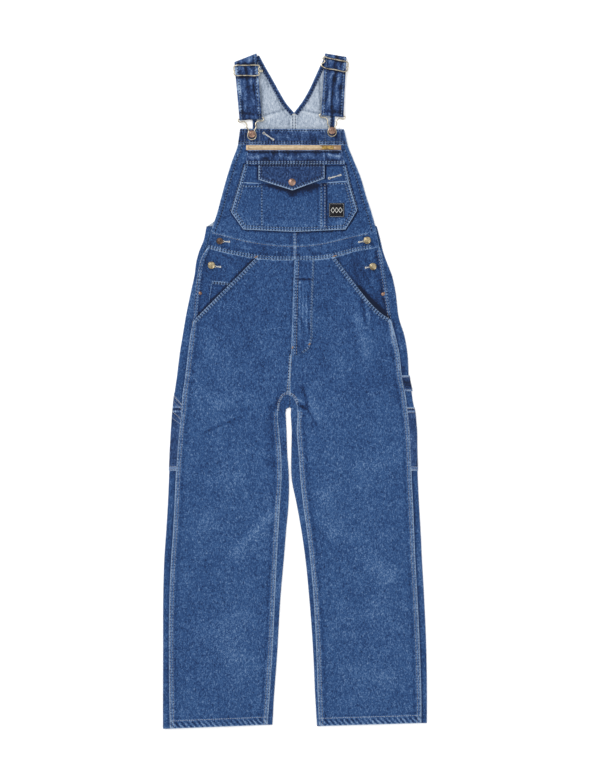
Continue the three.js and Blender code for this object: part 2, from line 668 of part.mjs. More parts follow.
// The facing seen inside a hand pocket's mouth, which runs on under the front.
function pocketFacing(name, hip, mouth, side) {
  const under = 11.2; // how far the facing runs on under the front, in x and in y
  const heights = [170, 195, 225, 255, 285, 300];
  const edge = heights.map((y) => ({ x: atHeight(hip, "y", "outseam", y) - side * seamGap, y }));
  const seamX = side < 0 ? waistSeam[0].x + 0.6 : waistSeam[waistSeam.length - 1].x - 0.6;
  edge.push({ x: seamX, y: curveY(waistSeam, seamX) - seamGap });
  const hidden = edge.map((p, i) => {
    const m = along(mouth, i / (edge.length - 1));
    return { x: m.x - side * under, y: m.y - under - seamGap };
  });
  const last = hidden[hidden.length - 1];
  last.y = curveY(waistSeam, last.x) - seamGap;
  const left = side < 0 ? edge : hidden;
  const right = side < 0 ? hidden : edge;
  const top = curvePart(waistSeam, left[6].x, right[6].x, -seamGap);
  return flatPiece(name, {
    left, right, top, across: 5, rise: 8,
    height: (x, y) => topHeight(x, y) - facingDrop(x, y, mouth), thick: denim, material: denimDark,
  });
}

// A strip sewn along an edge, as wide as given, on the side that turn says: 1 to the left of the way along.
function edgeStrip(name, edge, width, turn, bottom, thick, material) {
  const rows = edge.map((p, i) => {
    const before = edge[Math.max(i - 1, 0)];
    const after = edge[Math.min(i + 1, edge.length - 1)];
    const length = Math.hypot(after.x - before.x, after.y - before.y);
    const normal = { x: (-(after.y - before.y) / length) * turn, y: ((after.x - before.x) / length) * turn };
    const z = bottom + thick;
    return [0.4, width / 2, width].map((w) => ({ x: p.x + normal.x * w, y: p.y + normal.y * w, z }));
  });
  const inner = rows.map((row) => row.map((p) => ({ ...p, z: bottom })));
  return add(name, wall(rows, inner), material);
}

function backBib(name, armhole, neck, side) {
  const waist = 379.2;
  const inside = [
    { x: side * seamGap, y: waist },
    { x: side * seamGap - 0.8, y: 470 },
    { x: side * seamGap - 1, y: 560 },
    { x: neck[0].x + side * seamGap, y: neck[0].y },
    ...neck.slice(1),
  ];
  const left = side < 0 ? armhole : inside;
  const right = side < 0 ? inside : armhole;
  return flatPiece(name, {
    left, right, across: 4, rise: 16, height: () => denim, thick: denim, material: denimReverse,
  });
}

// A strap: a doubled ribbon from the shoulder fold down round the hook and back up to the slider.
function strap(name, shape) {
  const outer = strapPath.map((s) => {
    const ends = s.from === "top" ? ["Top", "Hook", -1] : ["Hook", "Top", 1];
    const place = (edge) => {
      const start = shape[edge + ends[0]];
      const finish = shape[edge + ends[1]];
      const share = s.away / Math.abs(start.y - finish.y);
      return { x: mix(start.x, finish.x, share), y: start.y + ends[2] * s.away };
    };
    const [a, b] = [place("left"), place("right")];
    return strapColumns.map((c) => ({ ...mixPoint(a, b, c.across), z: s.z + s.relief * c.raise }));
  });
  const top = offsetGrid(outer, denim / 2);
  const bottom = offsetGrid(outer, -denim / 2);
  return add(name, wall(top, bottom), denimDark);
}

// A closed loop of wire through points, which are given in the frame of its centre.
function wireLoop(points, centre, steps) {
  const placed = points.map((p) => new THREE.Vector3(centre.x + p.x, centre.y + p.y, p.z));
  return new THREE.TubeGeometry(new THREE.CatmullRomCurve3(placed, true), steps, wireRadius, 6, true);
}

function mirrored(half) {
  const middle = (p) => Math.abs(p.x) < 0.01;
  return [...half, ...half.filter((p) => !middle(p)).reverse().map((p) => ({ ...p, x: -p.x }))];
}

// The hook: its bar lies in the strap's fold, with the fold's slope, and its ring goes round the button.
function hook(name, knob, shape) {
  const bar = hookHalf[0].y;
  const lean = (shape.leftHook.x + shape.rightHook.x) / 2 - knob.x;
  const points = mirrored(hookHalf).map((p) => {
    const share = Math.max(0, p.y / bar);
    return { x: p.x + lean * share, y: p.y + p.x * shape.hookSlope * share, z: p.z };
  });
  return add(name, wireLoop(points, knob, 40), brass);
}

// The strap's slider: a loop of wire over the strap, joined at its sides to the bar that the strap turns on.
function strapSlider(name, centre) {
  const lower = sliderHalf.slice(0, -1).reverse().map((p) => ({ ...p, y: -p.y }));
  const loop = wireLoop(mirrored([...sliderHalf, ...lower]), { x: 0, y: 0 }, 36);
  const { halfLength: l, halfWidth: w, bottom, top } = sliderBar;
  const bar = plate([[-l, -w], [l, -w], [l, w], [-l, w]], top - bottom, bottom);
  const mesh = add(name, toGeometry(toSolid(loop).add(toSolid(bar))), brass);
  mesh.position.set(centre.x, centre.y, 0);
  mesh.rotation.z = THREE.MathUtils.degToRad(centre.tilt);
  return mesh;
}

// A turned piece about a vertical axis, from the radii and heights of its profile.
function turned(name, profile, x, y, z, sides, material) {
  const points = profile.map(([radius, height]) => new THREE.Vector2(radius, height));
  const geometry = new THREE.LatheGeometry(points, sides);
  geometry.rotateX(Math.PI / 2);
  const mesh = add(name, geometry, material);
  mesh.position.set(x, y, z);
  return mesh;
}

function button(b, level) {
  const { headRadius, headBottom, headTop, shankRadius } = buttonSizes;
  const low = headBottom + b.lift;
  const high = headTop + b.lift;
  const profile = [
    [0, 0], [shankRadius, 0], [shankRadius, low], [headRadius - 0.6, low], [headRadius, low + 0.8],
    [headRadius - 0.4, high - 1], [headRadius - 2, high - 0.2], [0, high],
  ];
  return turned(b.name, profile, b.x, b.y, level + b.above + seamGap, 14, brass);
}

function toSolid(geometry) {
  const bare = geometry.index ? geometry.toNonIndexed() : geometry.clone();
  bare.deleteAttribute("normal");
  bare.deleteAttribute("uv");
  const merged = mergeVertices(bare);
  return new wasm.Manifold(new wasm.Mesh({
    numProp: 3,
    vertProperties: merged.attributes.position.array,
    triVerts: new Uint32Array(merged.index.array),
  }));
}

function toGeometry(solid) {
  const mesh = solid.getMesh();
  const geometry = new THREE.BufferGeometry();
  const position = new Float32Array(mesh.numVert * 3);
  for (let i = 0; i < mesh.numVert; i++)
    position.set(mesh.vertProperties.subarray(i * mesh.numProp, i * mesh.numProp + 3), i * 3);
  geometry.setAttribute("position", new THREE.BufferAttribute(position, 3));
  geometry.setIndex(new THREE.BufferAttribute(mesh.triVerts, 1));
  geometry.computeVertexNormals();
  return geometry;
}

function plate(points, depth, bottom) {
  const shape = new THREE.Shape(points.map(([x, y]) => new THREE.Vector2(x, y)));
  return new THREE.ExtrudeGeometry(shape, { depth, bevelEnabled: false }).translate(0, 0, bottom);
}

// The zip's slider: a waisted body with two ears that carry the bar of its pull tab.
function zipSliderGeometry() {
  const { length, width, bodyBottom, bodyTop } = zipSlider;
  const [l, w] = [length / 2, width / 2];
  const outline = [[-l, -w * 0.6], [-l * 0.3, -w], [l, -w * 0.8], [l, w * 0.8], [-l * 0.3, w], [-l, w * 0.6]];
  const body = toSolid(plate(outline, bodyTop - bodyBottom, bodyBottom));
  const barHeight = bodyTop + pull.barRise;
  const barPlace = pull.barX - zipSlider.x;
  let whole = body;
  for (const side of [-1, 1]) {
    const earHeight = pull.barRise + pull.earAbove;
    const ear = new THREE.BoxGeometry(pull.earLength, pull.earThickness, earHeight);
    const earY = side * (pull.earHalfGap + pull.earThickness / 2);
    ear.translate(barPlace, earY, bodyTop + earHeight / 2 - pull.earSunk);
    whole = whole.add(toSolid(ear));
  }
  const barLength = 2 * (pull.earHalfGap + pull.earThickness / 2);
  const bar = new THREE.CylinderGeometry(pull.barRadius, pull.barRadius, barLength, 12);
  bar.translate(barPlace, 0, barHeight);
  return toGeometry(whole.add(toSolid(bar)));
}

// The pull tab: a rolled eye round the slider's bar and a slotted plate that slopes down to the tape.
function pullGeometry() {
  const ring = (radius, length) => new THREE.CylinderGeometry(radius, radius, length, 18);
  const eye = toSolid(ring(pull.eyeOuter, 2 * pull.eyeHalfWidth));
  const { length, halfWidth, thickness } = pull;
  const neck = pull.eyeHalfWidth;
  const outline = [
    [1, -neck], [4, -neck], [7, -halfWidth], [length - 2, -halfWidth], [length, -halfWidth + 2],
    [length, halfWidth - 2], [length - 2, halfWidth], [7, halfWidth], [4, neck], [1, neck],
  ];
  const [near, far, open] = [length - pull.slotNear, length - pull.slotFar, pull.slotHalfWidth];
  const slot = [[near, -open], [far, -open], [far, open], [near, open]];
  const tab = toSolid(plate(outline, thickness, -thickness / 2)).subtract(toSolid(plate(slot, 4, -2)));
  const bored = eye.add(tab).subtract(toSolid(ring(pull.eyeInner, 12)));
  return toGeometry(bored);
}

// A tool pocket on a back leg, from the side seam to the nose of the outer fold.
function toolPocketPiece(name, leg, crotch, hip, side, topAtSeam, topAtFold) {
  const all = backLegRows(leg, crotch, hip, side);
  const between = all.map((row) => row.y).filter((y) => y > toolPocket.bottom + 4 && y < topAtSeam - 4);
  const levels = [toolPocket.bottom, ...between].map((y) => ({ seam: y, fold: y }));
  levels.push({ seam: topAtSeam, fold: topAtFold });
  const columns = [0, 1, 2, 3];
  const base = levels.map((level) => columns.map((c) => {
    const y = mix(level.seam, level.fold, c / 3);
    const outseam = atHeight(all, "y", "outseam", y) + side * 1.4;
    const row = { y, outer: atHeight(all, "y", "outer", y), outseam, endX: 0, endY: y, end: "under" };
    return backSection(row, side)[c];
  }));
  return add(name, wall(moveInto(base, -seamGap - hemmed), moveInto(base, -seamGap)), denimDark);
}

// The hammer loop: a band from the side seam over the outer fold, where its end stands out.
function hammerLoopPiece(name) {
  const all = backLegRows(rightLeg, rightCrotch, rightHip, 1);
  const rows = [hammerLoop.bottom, 12, 24, hammerLoop.top].map((y) => {
    const outer = atHeight(all, "y", "outer", y);
    const seam = atHeight(all, "y", "outseam", y) + 1.2;
    const top = topHeight(seam, y);
    return [
      { x: seam, y, z: top + seamGap },
      { x: mix(seam, outer, 0.6), y, z: top + seamGap },
      { x: outer - 1, y, z: foldHeight + seamGap },
      { x: outer + 1.2, y, z: foldHeight - 0.4 },
      { x: outer + hammerLoop.stand, y, z: foldHeight / 2 + 0.4 },
    ];
  });
  return add(name, wall(offsetGrid(rows, denim), rows), denimDark);
}

// The back: legs with their folds, and the two halves of the high back with bound edges.
backLeg("back_leg_left", leftLeg, leftCrotch, leftHip, -1);
backLeg("back_leg_right", rightLeg, rightCrotch, rightHip, 1);
backBib("back_bib_left", leftArmhole, leftNeck, -1);
backBib("back_bib_right", rightArmhole, rightNeck, 1);
edgeStrip("neck_binding_left", leftNeck, bindingWidth, 1, bindingBottom, hemmed, denimDark);
edgeStrip("neck_binding_right", rightNeck, bindingWidth, -1, bindingBottom, hemmed, denimDark);
edgeStrip("armhole_binding_left", leftArmhole.slice(1), bindingWidth, -1, bindingBottom, hemmed, denimDark);
edgeStrip("armhole_binding_right", rightArmhole.slice(1), bindingWidth, 1, bindingBottom, hemmed, denimDark);

// The front legs and what is sewn to them.
frontLeg("front_leg_left", leftLeg, leftCrotch, leftHip, leftMouth, -1);
frontLeg("front_leg_right", rightLeg, rightCrotch, rightHip, rightMouth, 1);
pocketFacing("pocket_facing_left", leftHip, leftMouth, -1);
pocketFacing("pocket_facing_right", rightHip, rightMouth, 1);
flatPiece("coin_pocket", {
  left: [coin.bottomLeft, coin.topLeft],
  right: [coin.bottomRight, coin.topRight],
  across: 4, rise: 5, thick: hemmed, material: denimDark,
  height: (x, y) => topHeight(x, y) - facingDrop(x, y, leftMouth) + seamGap + hemmed,
});
flatPiece("fly", {
  left: flyLeft, right: flyRight, across: 3, rise: 12,
  height: (x, y) => topHeight(x, y) + seamGap + hemmed, thick: hemmed, material: denimBlue,
});
const { topLeftAtSeam, topLeftAtFold, topRight } = toolPocket;
toolPocketPiece("tool_pocket_left", leftLeg, leftCrotch, leftHip, -1, topLeftAtSeam, topLeftAtFold);
toolPocketPiece("tool_pocket_right", rightLeg, rightCrotch, rightHip, 1, topRight, topRight);
hammerLoopPiece("hammer_loop");

// The waistband and the bib, each in two halves that meet at the centre seam.
const half = [
  { side: "left", from: -200.6, to: -0.2, topFrom: -192.6, topTo: -0.2 },
  { side: "right", from: 0.2, to: 194.6, topFrom: 0.2, topTo: 188.2 },
];
for (const h of half) {
  const seam = curvePart(waistSeam, h.from, h.to, seamGap);
  const line = curvePart(waistTop, h.topFrom, h.topTo, 0);
  flatPiece("waistband_" + h.side, {
    left: [seam[0], line[0]], right: [seam[seam.length - 1], line[line.length - 1]],
    bottom: seam, top: line, across: 8, rise: 2, height: topHeight, thick: denim, material: denimBlue,
  });
  const bibLine = curvePart(waistTop, h.topFrom, h.topTo, seamGap);
  const edge = h.side === "left" ? bibLeftEdge : bibRightEdge;
  const topY = 602.2;
  const seamX = h.side === "left" ? -0.2 : 0.2;
  const heights = edge.map((p, i) => mix(curveY(waistTop, 0) + seamGap, topY, i / (edge.length - 1)));
  const middle = heights.map((y) => ({ x: seamX, y }));
  flatPiece("bib_" + h.side, {
    left: h.side === "left" ? edge : middle, right: h.side === "left" ? middle : edge, bottom: bibLine,
    across: 8, rise: 6, height: topHeight, thick: denim, material: denimBlue,
  });
}

const onBib = (above) => (x, y) => topHeight(x, y) + above;
const bibEdgeX = (edge, y) => atHeight(edge, "y", "x", y);
flatPiece("bib_top_band", {
  left: [{ x: bibEdgeX(bibLeftEdge, bandBottom), y: bandBottom }, { x: -125.2, y: 602.8 }],
  right: [{ x: bibEdgeX(bibRightEdge, bandBottom), y: bandBottom }, { x: 113.8, y: 601.8 }],
  across: 10, rise: 2, height: onBib(layer.patch + 1), thick: 1, material: denimBlue,
});
flatPiece("zip_tape", {
  left: [{ x: zipTape.left, y: zipTape.bottom }, { x: zipTape.left, y: zipTape.top }],
  right: [{ x: zipTape.right, y: zipTape.bottom }, { x: zipTape.right, y: zipTape.top }],
  across: 10, rise: 1, height: onBib(layer.patch + 0.6), thick: 0.6, material: tapeBeige,
});
flatPiece("zip_pocket", {
  left: [{ x: zipPanel.bottomLeft, y: zipPanel.bottom }, { x: zipPanel.topLeft, y: zipPanel.top }],
  right: [{ x: zipPanel.bottomRight, y: zipPanel.bottom }, { x: zipPanel.topRight, y: zipPanel.top }],
  across: 10, rise: 2, height: onBib(layer.patch + 1), thick: 1, material: denimBlue,
});
flatPiece("pocket_base", {
  left: pocketLeft, right: pocketRight,
  bottom: [pocketLeft[0], { x: 0, y: pocketBottomY }, pocketRight[0]],
  across: 10, rise: 6, height: onBib(layer.patch + hemmed), thick: hemmed, material: denimBlue,
});
const mouthShare = (y) => (y - pocketLeft[1].y) / (pocketLeft[2].y - pocketLeft[1].y);
const leftStop = mixPoint(pocketLeft[1], pocketLeft[2], mouthShare(mouthLeftY));
const rightStop = mixPoint(pocketRight[1], pocketRight[2], mouthShare(mouthRightY));
flatPiece("pocket_front", {
  left: [pocketLeft[0], pocketLeft[1], { x: leftStop.x, y: mouthLeftY }],
  right: [pocketRight[0], pocketRight[1], { x: rightStop.x - 1, y: mouthRightY }],
  bottom: [pocketLeft[0], { x: 0, y: pocketBottomY }, pocketRight[0]],
  top: [{ x: leftStop.x, y: mouthLeftY }, { x: 0, y: mouthMiddleY }, { x: rightStop.x - 1, y: mouthRightY }],
  across: 10, rise: 4, height: onBib(layer.pocket + 1), thick: 1, material: denimBlue,
});
flatPiece("pocket_flap", {
  left: [{ x: flap.left, y: flap.cornerLeft }, { x: flap.left, y: flap.top }],
  right: [{ x: flap.right, y: flap.cornerRight }, { x: flap.right, y: flap.top }],
  bottom: [
    { x: flap.left, y: flap.cornerLeft },
    { x: flap.tipX, y: flap.tipY },
    { x: flap.right, y: flap.cornerRight },
  ],
  top: [
    { x: flap.left, y: flap.top },
    { x: flap.tipX, y: flap.top },
    { x: flap.right, y: flap.top },
  ],
  across: 8, rise: 3, height: onBib(layer.flap + denim), thick: denim, material: denimBlue,
});
flatPiece("label", {
  left: [{ x: label.left, y: label.bottom }, { x: label.left, y: label.top }],
  right: [{ x: label.right, y: label.bottom }, { x: label.right, y: label.top }],
  across: 3, rise: 2, height: onBib(layer.flap + 0.6), thick: 0.6, material: labelBlack,
});

// Straps, hooks and sliders.
for (const [side, shape, knob] of [["left", leftStrap, buttons[0]], ["right", rightStrap, buttons[1]]]) {
  strap("strap_" + side, shape);
  hook("hook_" + side, knob, shape);
  strapSlider("slider_" + side, shape.slider);
}

// Buttons, rivets and the flap's snap.
for (const b of buttons) {
  const mouth = b.x < 0 ? leftMouth : rightMouth;
  const lowered = b.name.includes("lower") ? facingDrop(b.x, b.y, mouth) : 0;
  button(b, topHeight(b.x, b.y) - lowered);
}
const snapProfile = [
  [0, 0], [snap.radius - 0.6, 0], [snap.radius, 0.7],
  [snap.radius * 0.8, snap.height * 0.8], [0, snap.height],
];
const snapLevel = topHeight(snap.x, snap.y) + layer.flap + denim + seamGap;
turned("flap_snap", snapProfile, snap.x, snap.y, snapLevel, 16, brass);
const { radius: rivetRadius, height: rivetHeight } = rivetSizes;
const rivetProfile = [
  [0, 0], [rivetRadius, 0], [rivetRadius, 0.6], [rivetRadius * 0.6, rivetHeight], [0, rivetHeight],
];
for (const r of rivets) turned(r.name, rivetProfile, r.x, r.y, topHeight(r.x, r.y) + seamGap, 12, brass);

// The zip's slider and its pull tab, which turns about the slider's bar.
const zipLevel = topHeight(zipSlider.x, zipSlider.y);
add("zip_slider", zipSliderGeometry(), brass).position.set(zipSlider.x, zipSlider.y, zipLevel);
const pullTab = add("zip_pull", pullGeometry(), brass);
pullTab.position.set(pull.barX, zipSlider.y, zipLevel + zipSlider.bodyTop + pull.barRise);
pullTab.rotation.y = THREE.MathUtils.degToRad(pull.tilt);

export default group;
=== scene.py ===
# Denim dungarees laid flat on a pale floor and seen from straight above.
# Tables are in millimetres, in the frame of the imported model: x right, y towards the shoulders, z up.
import math

import bpy
import numpy as np
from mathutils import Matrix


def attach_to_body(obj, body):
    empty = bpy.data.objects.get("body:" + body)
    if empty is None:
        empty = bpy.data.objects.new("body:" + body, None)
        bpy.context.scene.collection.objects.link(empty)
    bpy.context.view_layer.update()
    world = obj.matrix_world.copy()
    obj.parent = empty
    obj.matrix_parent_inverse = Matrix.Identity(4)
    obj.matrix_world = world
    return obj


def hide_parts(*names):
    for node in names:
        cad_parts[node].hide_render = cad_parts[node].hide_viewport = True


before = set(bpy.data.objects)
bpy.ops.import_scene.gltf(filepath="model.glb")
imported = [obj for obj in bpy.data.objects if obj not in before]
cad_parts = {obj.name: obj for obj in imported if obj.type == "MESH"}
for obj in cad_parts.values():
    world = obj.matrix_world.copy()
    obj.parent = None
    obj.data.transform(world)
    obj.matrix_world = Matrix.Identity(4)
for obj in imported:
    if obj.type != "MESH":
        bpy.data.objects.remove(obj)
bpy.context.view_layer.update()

body = "garment"
milli = 0.001

cloth = {
    "thick": 1.2,          # one layer of denim
    "fold": 4.2,           # height of the legs where the cloth turns under
    "crown": 1.0,          # extra height of the middle
    "edgeCell": 0.7,       # the narrow first cell of a panel, which rounds its edge
    "edgeDrop": 0.35,
    "lap": 1.4,            # how far the front's felled edge covers the back strip
    "crotchX": -11.0,
    "hipHalf": 268.0,      # half the body's width at the hips
    "bibHalf": 205.0,      # the same from the waist up
    "waistY": 303.0,
    "legsJoin": (-10, 90), # where the two legs blend into one body
}

# Legs: y at the outer fold, y at the inner fold, outer fold, side seam, inseam, inner fold.
leftLeg = np.array([
    (-776, -767, -302.6, -285.2, -63.4, -51), (-690, -690, -302.7, -286.8, -58, -46.6),
    (-620, -620, -302.4, -287.4, -53.4, -41.2), (-460, -460, -301.8, -285.8, -45.7, -31.4),
    (-388, -388, -299.6, -282.4, -42.3, -25), (-320, -320, -295, -277.8, -38.6, -19.4),
    (-260, -260, -291.4, -274.6, -35, -14), (-200, -200, -288.7, -271.9, -31.4, -13),
    (-140, -140, -286.3, -268.2, -32.6, -17), (-92, -92, -283.6, -264, -37, -18.6)])
rightLeg = np.array([
    (-763, -770, 304, 290, 57.4, 51.5), (-690, -690, 304.2, 289.6, 54.2, 46.8),
    (-620, -620, 303.4, 287.4, 52.2, 43.8), (-460, -460, 297, 280.2, 43.8, 32.4),
    (-388, -388, 292.8, 276, 37.4, 25.2), (-320, -320, 289.6, 273.2, 29.4, 15.6),
    (-260, -260, 286, 270.8, 21, 4.8), (-200, -200, 283.2, 267.8, 14.6, -6.8),
    (-140, -140, 281.4, 265.8, 10.4, -7.6), (-92, -92, 280.8, 263.2, 6.4, -6.8)])

# Crotch: y, outer fold, side seam, end of the panel (x, y), inner fold (x, y), the way the fold faces,
# and where the panel ends: 0 on top, 1 at the nose of the fold, 2 underneath.
leftCrotch = np.array([
    (-50, -280.8, -259.8, -38.9, -50, -20.7, -50, 0, 0), (-38, -279.5, -258.5, -35, -25, -20, -44, -25, 0),
    (-26, -278.4, -257.6, -25, -12, -18.6, -41, -50, 0),
    (-14, -277, -256.8, -11.3, -9.7, -16.6, -39.4, -72, 0),
    (-3, -275.8, -255.4, -11.3, -26, -14, -38.9, -84, 0),
    (7, -274.4, -254, -11.3, -38.9, -11.3, -38.9, -90, 1), (18, -272.8, -252.3, -11.3, -16, 0, 0, 0, 2)])
rightCrotch = np.array([
    (-50, 277.2, 259.2, 7.4, -46, -9.2, -50, 180, 0), (-38, 274.8, 257.4, 5.6, -30, -8.2, -44, 205, 0),
    (-26, 272.4, 255.9, -1.5, -16, -8, -41, 230, 0), (-14, 270.4, 254.2, -10.7, -9.7, -8.4, -39.4, 252, 0),
    (-3, 268.8, 252.6, -10.7, -26, -9.6, -38.9, 264, 0),
    (7, 267.2, 250.8, -10.7, -38.9, -10.7, -38.9, 270, 1), (18, 264.6, 248.3, -10.7, -16, 0, 0, 0, 2)])

# Hips: y, outer fold, side seam, centre seam.
leftHip = np.array([
    (30, -271, -250.4, -11), (95, -262.8, -242.6, -6.6), (130, -257, -237.9, -5.6),
    (163, -251.6, -233.4, -4.8), (232, -237.6, -226.8, -3), (267, -230, -222.6, -1.6),
    (297, -226.1, -217, -0.4), (320, -219.9, -207.4, 0), (346, -209.4, -199.6, 0),
    (378.8, -202.5, -190, 0)])
rightHip = np.array([
    (30, 262.6, 245.8, -11), (95, 258.4, 237.8, -6.6), (130, 251.8, 229.4, -5.6), (163, 241, 223.4, -4.8),
    (232, 231.4, 212.6, -3), (267, 223.4, 207.4, -1.6), (297, 211.6, 202.4, -0.4), (320, 203.6, 198.2, 0),
    (346, 197.4, 195, 0), (378.8, 189, 186.6, 0)])

leftMouth = np.array([(-233, 161), (-202, 192.4), (-172, 222.6), (-142, 252.6), (-89.7, 305)])
rightMouth = np.array([(222, 163), (196, 181), (176, 200), (152, 229), (92, 308.4)])
waistSeam = np.array([
    (-200.6, 329), (-163.5, 319.6), (-117.3, 310.2), (-89.7, 305.4), (-42, 301.8), (0, 301.6), (50, 302.8),
    (92, 309), (129, 319.4), (194.6, 331.6)])
waistTop = np.array([
    (-192.6, 367), (-163.5, 359.4), (-117.3, 347.6), (-55.7, 338), (0, 334.4), (67.4, 341), (129, 355.8),
    (188.2, 367.4)])
bibLeftEdge = np.array([
    (-192.8, 367.4), (-179.6, 404), (-168.6, 444), (-158, 483), (-144.2, 527), (-130.4, 565),
    (-125.2, 602.6)])
bibRightEdge = np.array([
    (188.4, 367.8), (176.4, 411), (165.2, 445), (152, 490), (134.6, 533), (120.8, 568), (113.6, 601.6)])
leftArmhole = np.array([
    (-201, 379.2), (-168, 404), (-128, 450), (-104, 520), (-96.4, 600), (-98, 634), (-108, 680),
    (-124, 716),
    (-137.6, 745)])
rightArmhole = np.array([
    (188, 379.2), (158, 404), (122, 450), (99, 520), (92, 600), (93, 634), (99, 680), (108, 716),
    (118.4, 757.6)])
leftNeck = np.array([(-1.2, 640), (-20.6, 663.5), (-35.2, 688.2), (-50.6, 716), (-66, 743), (-81.6, 772)])
rightNeck = np.array([(-1.2, 640), (21.8, 671.8), (33.6, 693), (44.4, 716), (57.6, 745), (70.6, 771)])

# Soft creases: from x, y to x, y, spread, rise. A negative rise is a trough.
creases = np.array([
    (-48, -280, -132, -370, 20, 1.0), (-58, -262, -120, -332, 9, -0.5), (-196, -286, -226, -330, 18, 0.6),
    (-168, -28, -108, -20, 18, 0.8), (-160, -44, -100, -36, 8, -0.4), (-238, 26, -196, -34, 18, 0.7),
    (34, -14, 52, -62, 14, 0.9), (20, -30, 38, -78, 7, -0.7), (12, 10, 30, -20, 7, -0.6),
    (146, 160, 164, 80, 18, 0.9), (132, 150, 150, 70, 9, -0.6), (180, -388, 214, -428, 18, 0.7),
    (66, -232, 100, -330, 20, 0.7), (-60, -60, -54, -170, 9, -0.6), (-120, -520, -190, -560, 26, 0.5),
    (110, -520, 190, -500, 26, 0.5), (-90, -640, -150, -600, 22, 0.45), (120, -640, 210, -660, 22, 0.45),
    (-200, 110, -150, 40, 22, 0.5), (60, 150, 110, 60, 22, 0.5), (-110, 130, -70, 60, 20, -0.35),
    (200, 60, 236, -20, 14, -0.45), (-130, -200, -200, -210, 20, 0.5), (150, -180, 220, -160, 20, 0.5)])


# A colour seen on a screen, 0 to 255, as the linear values that a shader takes.
def srgb(r, g, b):
    c = np.array([r, g, b]) / 255
    linear = np.where(c <= 0.04045, c / 12.92, ((c + 0.055) / 1.055) ** 2.4)
    return (*[float(v) for v in linear], 1.0)


lattice = np.random.default_rng(11).random((256, 256))


# Smooth value noise from 0 to 1: lattice values size mm apart, blended with 3t2 - 2t3.
def noise(x, y, size, shift=0):
    a = np.asarray(x) / size + 37.7 * (shift + 1)
    b = np.asarray(y) / size + 91.3 * (shift + 1)
    i, j = np.floor(a).astype(int), np.floor(b).astype(int)
    u, v = a - i, b - j
    u, v = u * u * (3 - 2 * u), v * v * (3 - 2 * v)
    at = lambda p, q: lattice[p % 256, q % 256]
    low = at(i, j) * (1 - u) + at(i + 1, j) * u
    high = at(i, j + 1) * (1 - u) + at(i + 1, j + 1) * u
    return low * (1 - v) + high * v


def step(low, high, value):
    t = np.clip((np.asarray(value, float) - low) / (high - low), 0, 1)
    return t * t * (3 - 2 * t)


# Cubic Hermite curve through values at their stations. At a corner the two sides keep their own slopes.
def through(stations, values, at, corners=()):
    s, v = np.asarray(stations, float), np.asarray(values, float)
    shape = (-1,) + (1,) * (v.ndim - 1)
    h = np.diff(s).reshape(shape)
    d = np.diff(v, axis=0) / h
    middle = (d[:-1] * h[1:] + d[1:] * h[:-1]) / (h[1:] + h[:-1])
    leave = np.concatenate([d[:1], middle, d[-1:]])
    arrive = leave.copy()
    for c in corners:
        leave[c], arrive[c] = d[c], d[c - 1]
    i = np.clip(np.searchsorted(s, at, side="right") - 1, 0, len(s) - 2)
    t = ((at - s[i]) / (s[i + 1] - s[i])).reshape(shape)
    g = h[i]
    return (v[i] * (1 + 2 * t) * (1 - t) ** 2 + leave[i] * g * t * (1 - t) ** 2
            + v[i + 1] * t * t * (3 - 2 * t) + arrive[i + 1] * g * t * t * (t - 1))


# Length along a polyline at each of its points.
def lengths(points):
    return np.concatenate([[0], np.cumsum(np.linalg.norm(np.diff(points, axis=0), axis=1))])


# A smooth path through a few points, sampled about every spacing mm.
def smoothPath(points, spacing=4.0, corners=()):
    p = np.asarray(points, float)
    s = lengths(p)
    count = max(2, int(s[-1] / spacing) + 1)
    return through(s, p, np.linspace(0, s[-1], count), corners)


# A path moved sideways, to the left of its way along where distance is positive.
def shifted(path, distance):
    p = np.asarray(path, float)
    t = np.gradient(p, axis=0)
    t /= np.linalg.norm(t, axis=1)[:, None]
    return p + distance * np.stack([-t[:, 1], t[:, 0]], axis=1)


# Distance from each place to a polyline, the length along it at the nearest point, and the side: 1 to its
# left.
def nearest(x, y, path):
    best = np.full(np.shape(x), 1e9)
    along = np.zeros(np.shape(x))
    side = np.ones(np.shape(x))
    s = lengths(path)
    for k in range(len(path) - 1):
        ax, ay = path[k]
        dx, dy = path[k + 1] - path[k]
        size = dx * dx + dy * dy + 1e-9
        t = np.clip(((x - ax) * dx + (y - ay) * dy) / size, 0, 1)
        away = np.hypot(x - ax - t * dx, y - ay - t * dy)
        closer = away < best
        best = np.where(closer, away, best)
        along = np.where(closer, s[k] + t * (s[k + 1] - s[k]), along)
        side = np.where(closer, np.where(dx * (y - ay) - dy * (x - ax) >= 0, 1, -1), side)
    return best, along, side


def columnAt(table, column, y):
    return np.interp(y, table[:, 0], table[:, column])


# The sum of soft marks, each round a line: from x, y to x, y, spread, amount.
def marks(x, y, lines):
    total = np.zeros(np.shape(x))
    for ax, ay, bx, by, spread, amount in lines:
        away = nearest(x, y, np.array([(ax, ay), (bx, by)]))[0]
        total = total + amount * np.exp(-(away / spread) ** 2)
    return total


# Height of the upper surface: crowned legs that blend into a crowned body, with the creases.
def bodyTop(x, y):
    outer = np.where(x < cloth["crotchX"], columnAt(leftLeg, 2, y), columnAt(rightLeg, 2, y))
    inner = np.where(x < cloth["crotchX"], columnAt(leftLeg, 5, y), columnAt(rightLeg, 5, y))
    across = np.clip((x - outer) / (inner - outer), 0, 1)
    legShare = 4 * across * (1 - across)
    half = cloth["hipHalf"] + (cloth["bibHalf"] - cloth["hipHalf"]) * step(0, cloth["waistY"], y)
    bodyShare = np.maximum(0, 1 - (x / half) ** 2)
    blend = step(*cloth["legsJoin"], y)
    ripple = 0.35 * (noise(x, y, 46) - 0.5) + 0.16 * (noise(x, y, 17, 3) - 0.5)
    return (cloth["fold"] + cloth["crown"] * (legShare * (1 - blend) + bodyShare * blend)
            + marks(x, y, creases) + ripple)


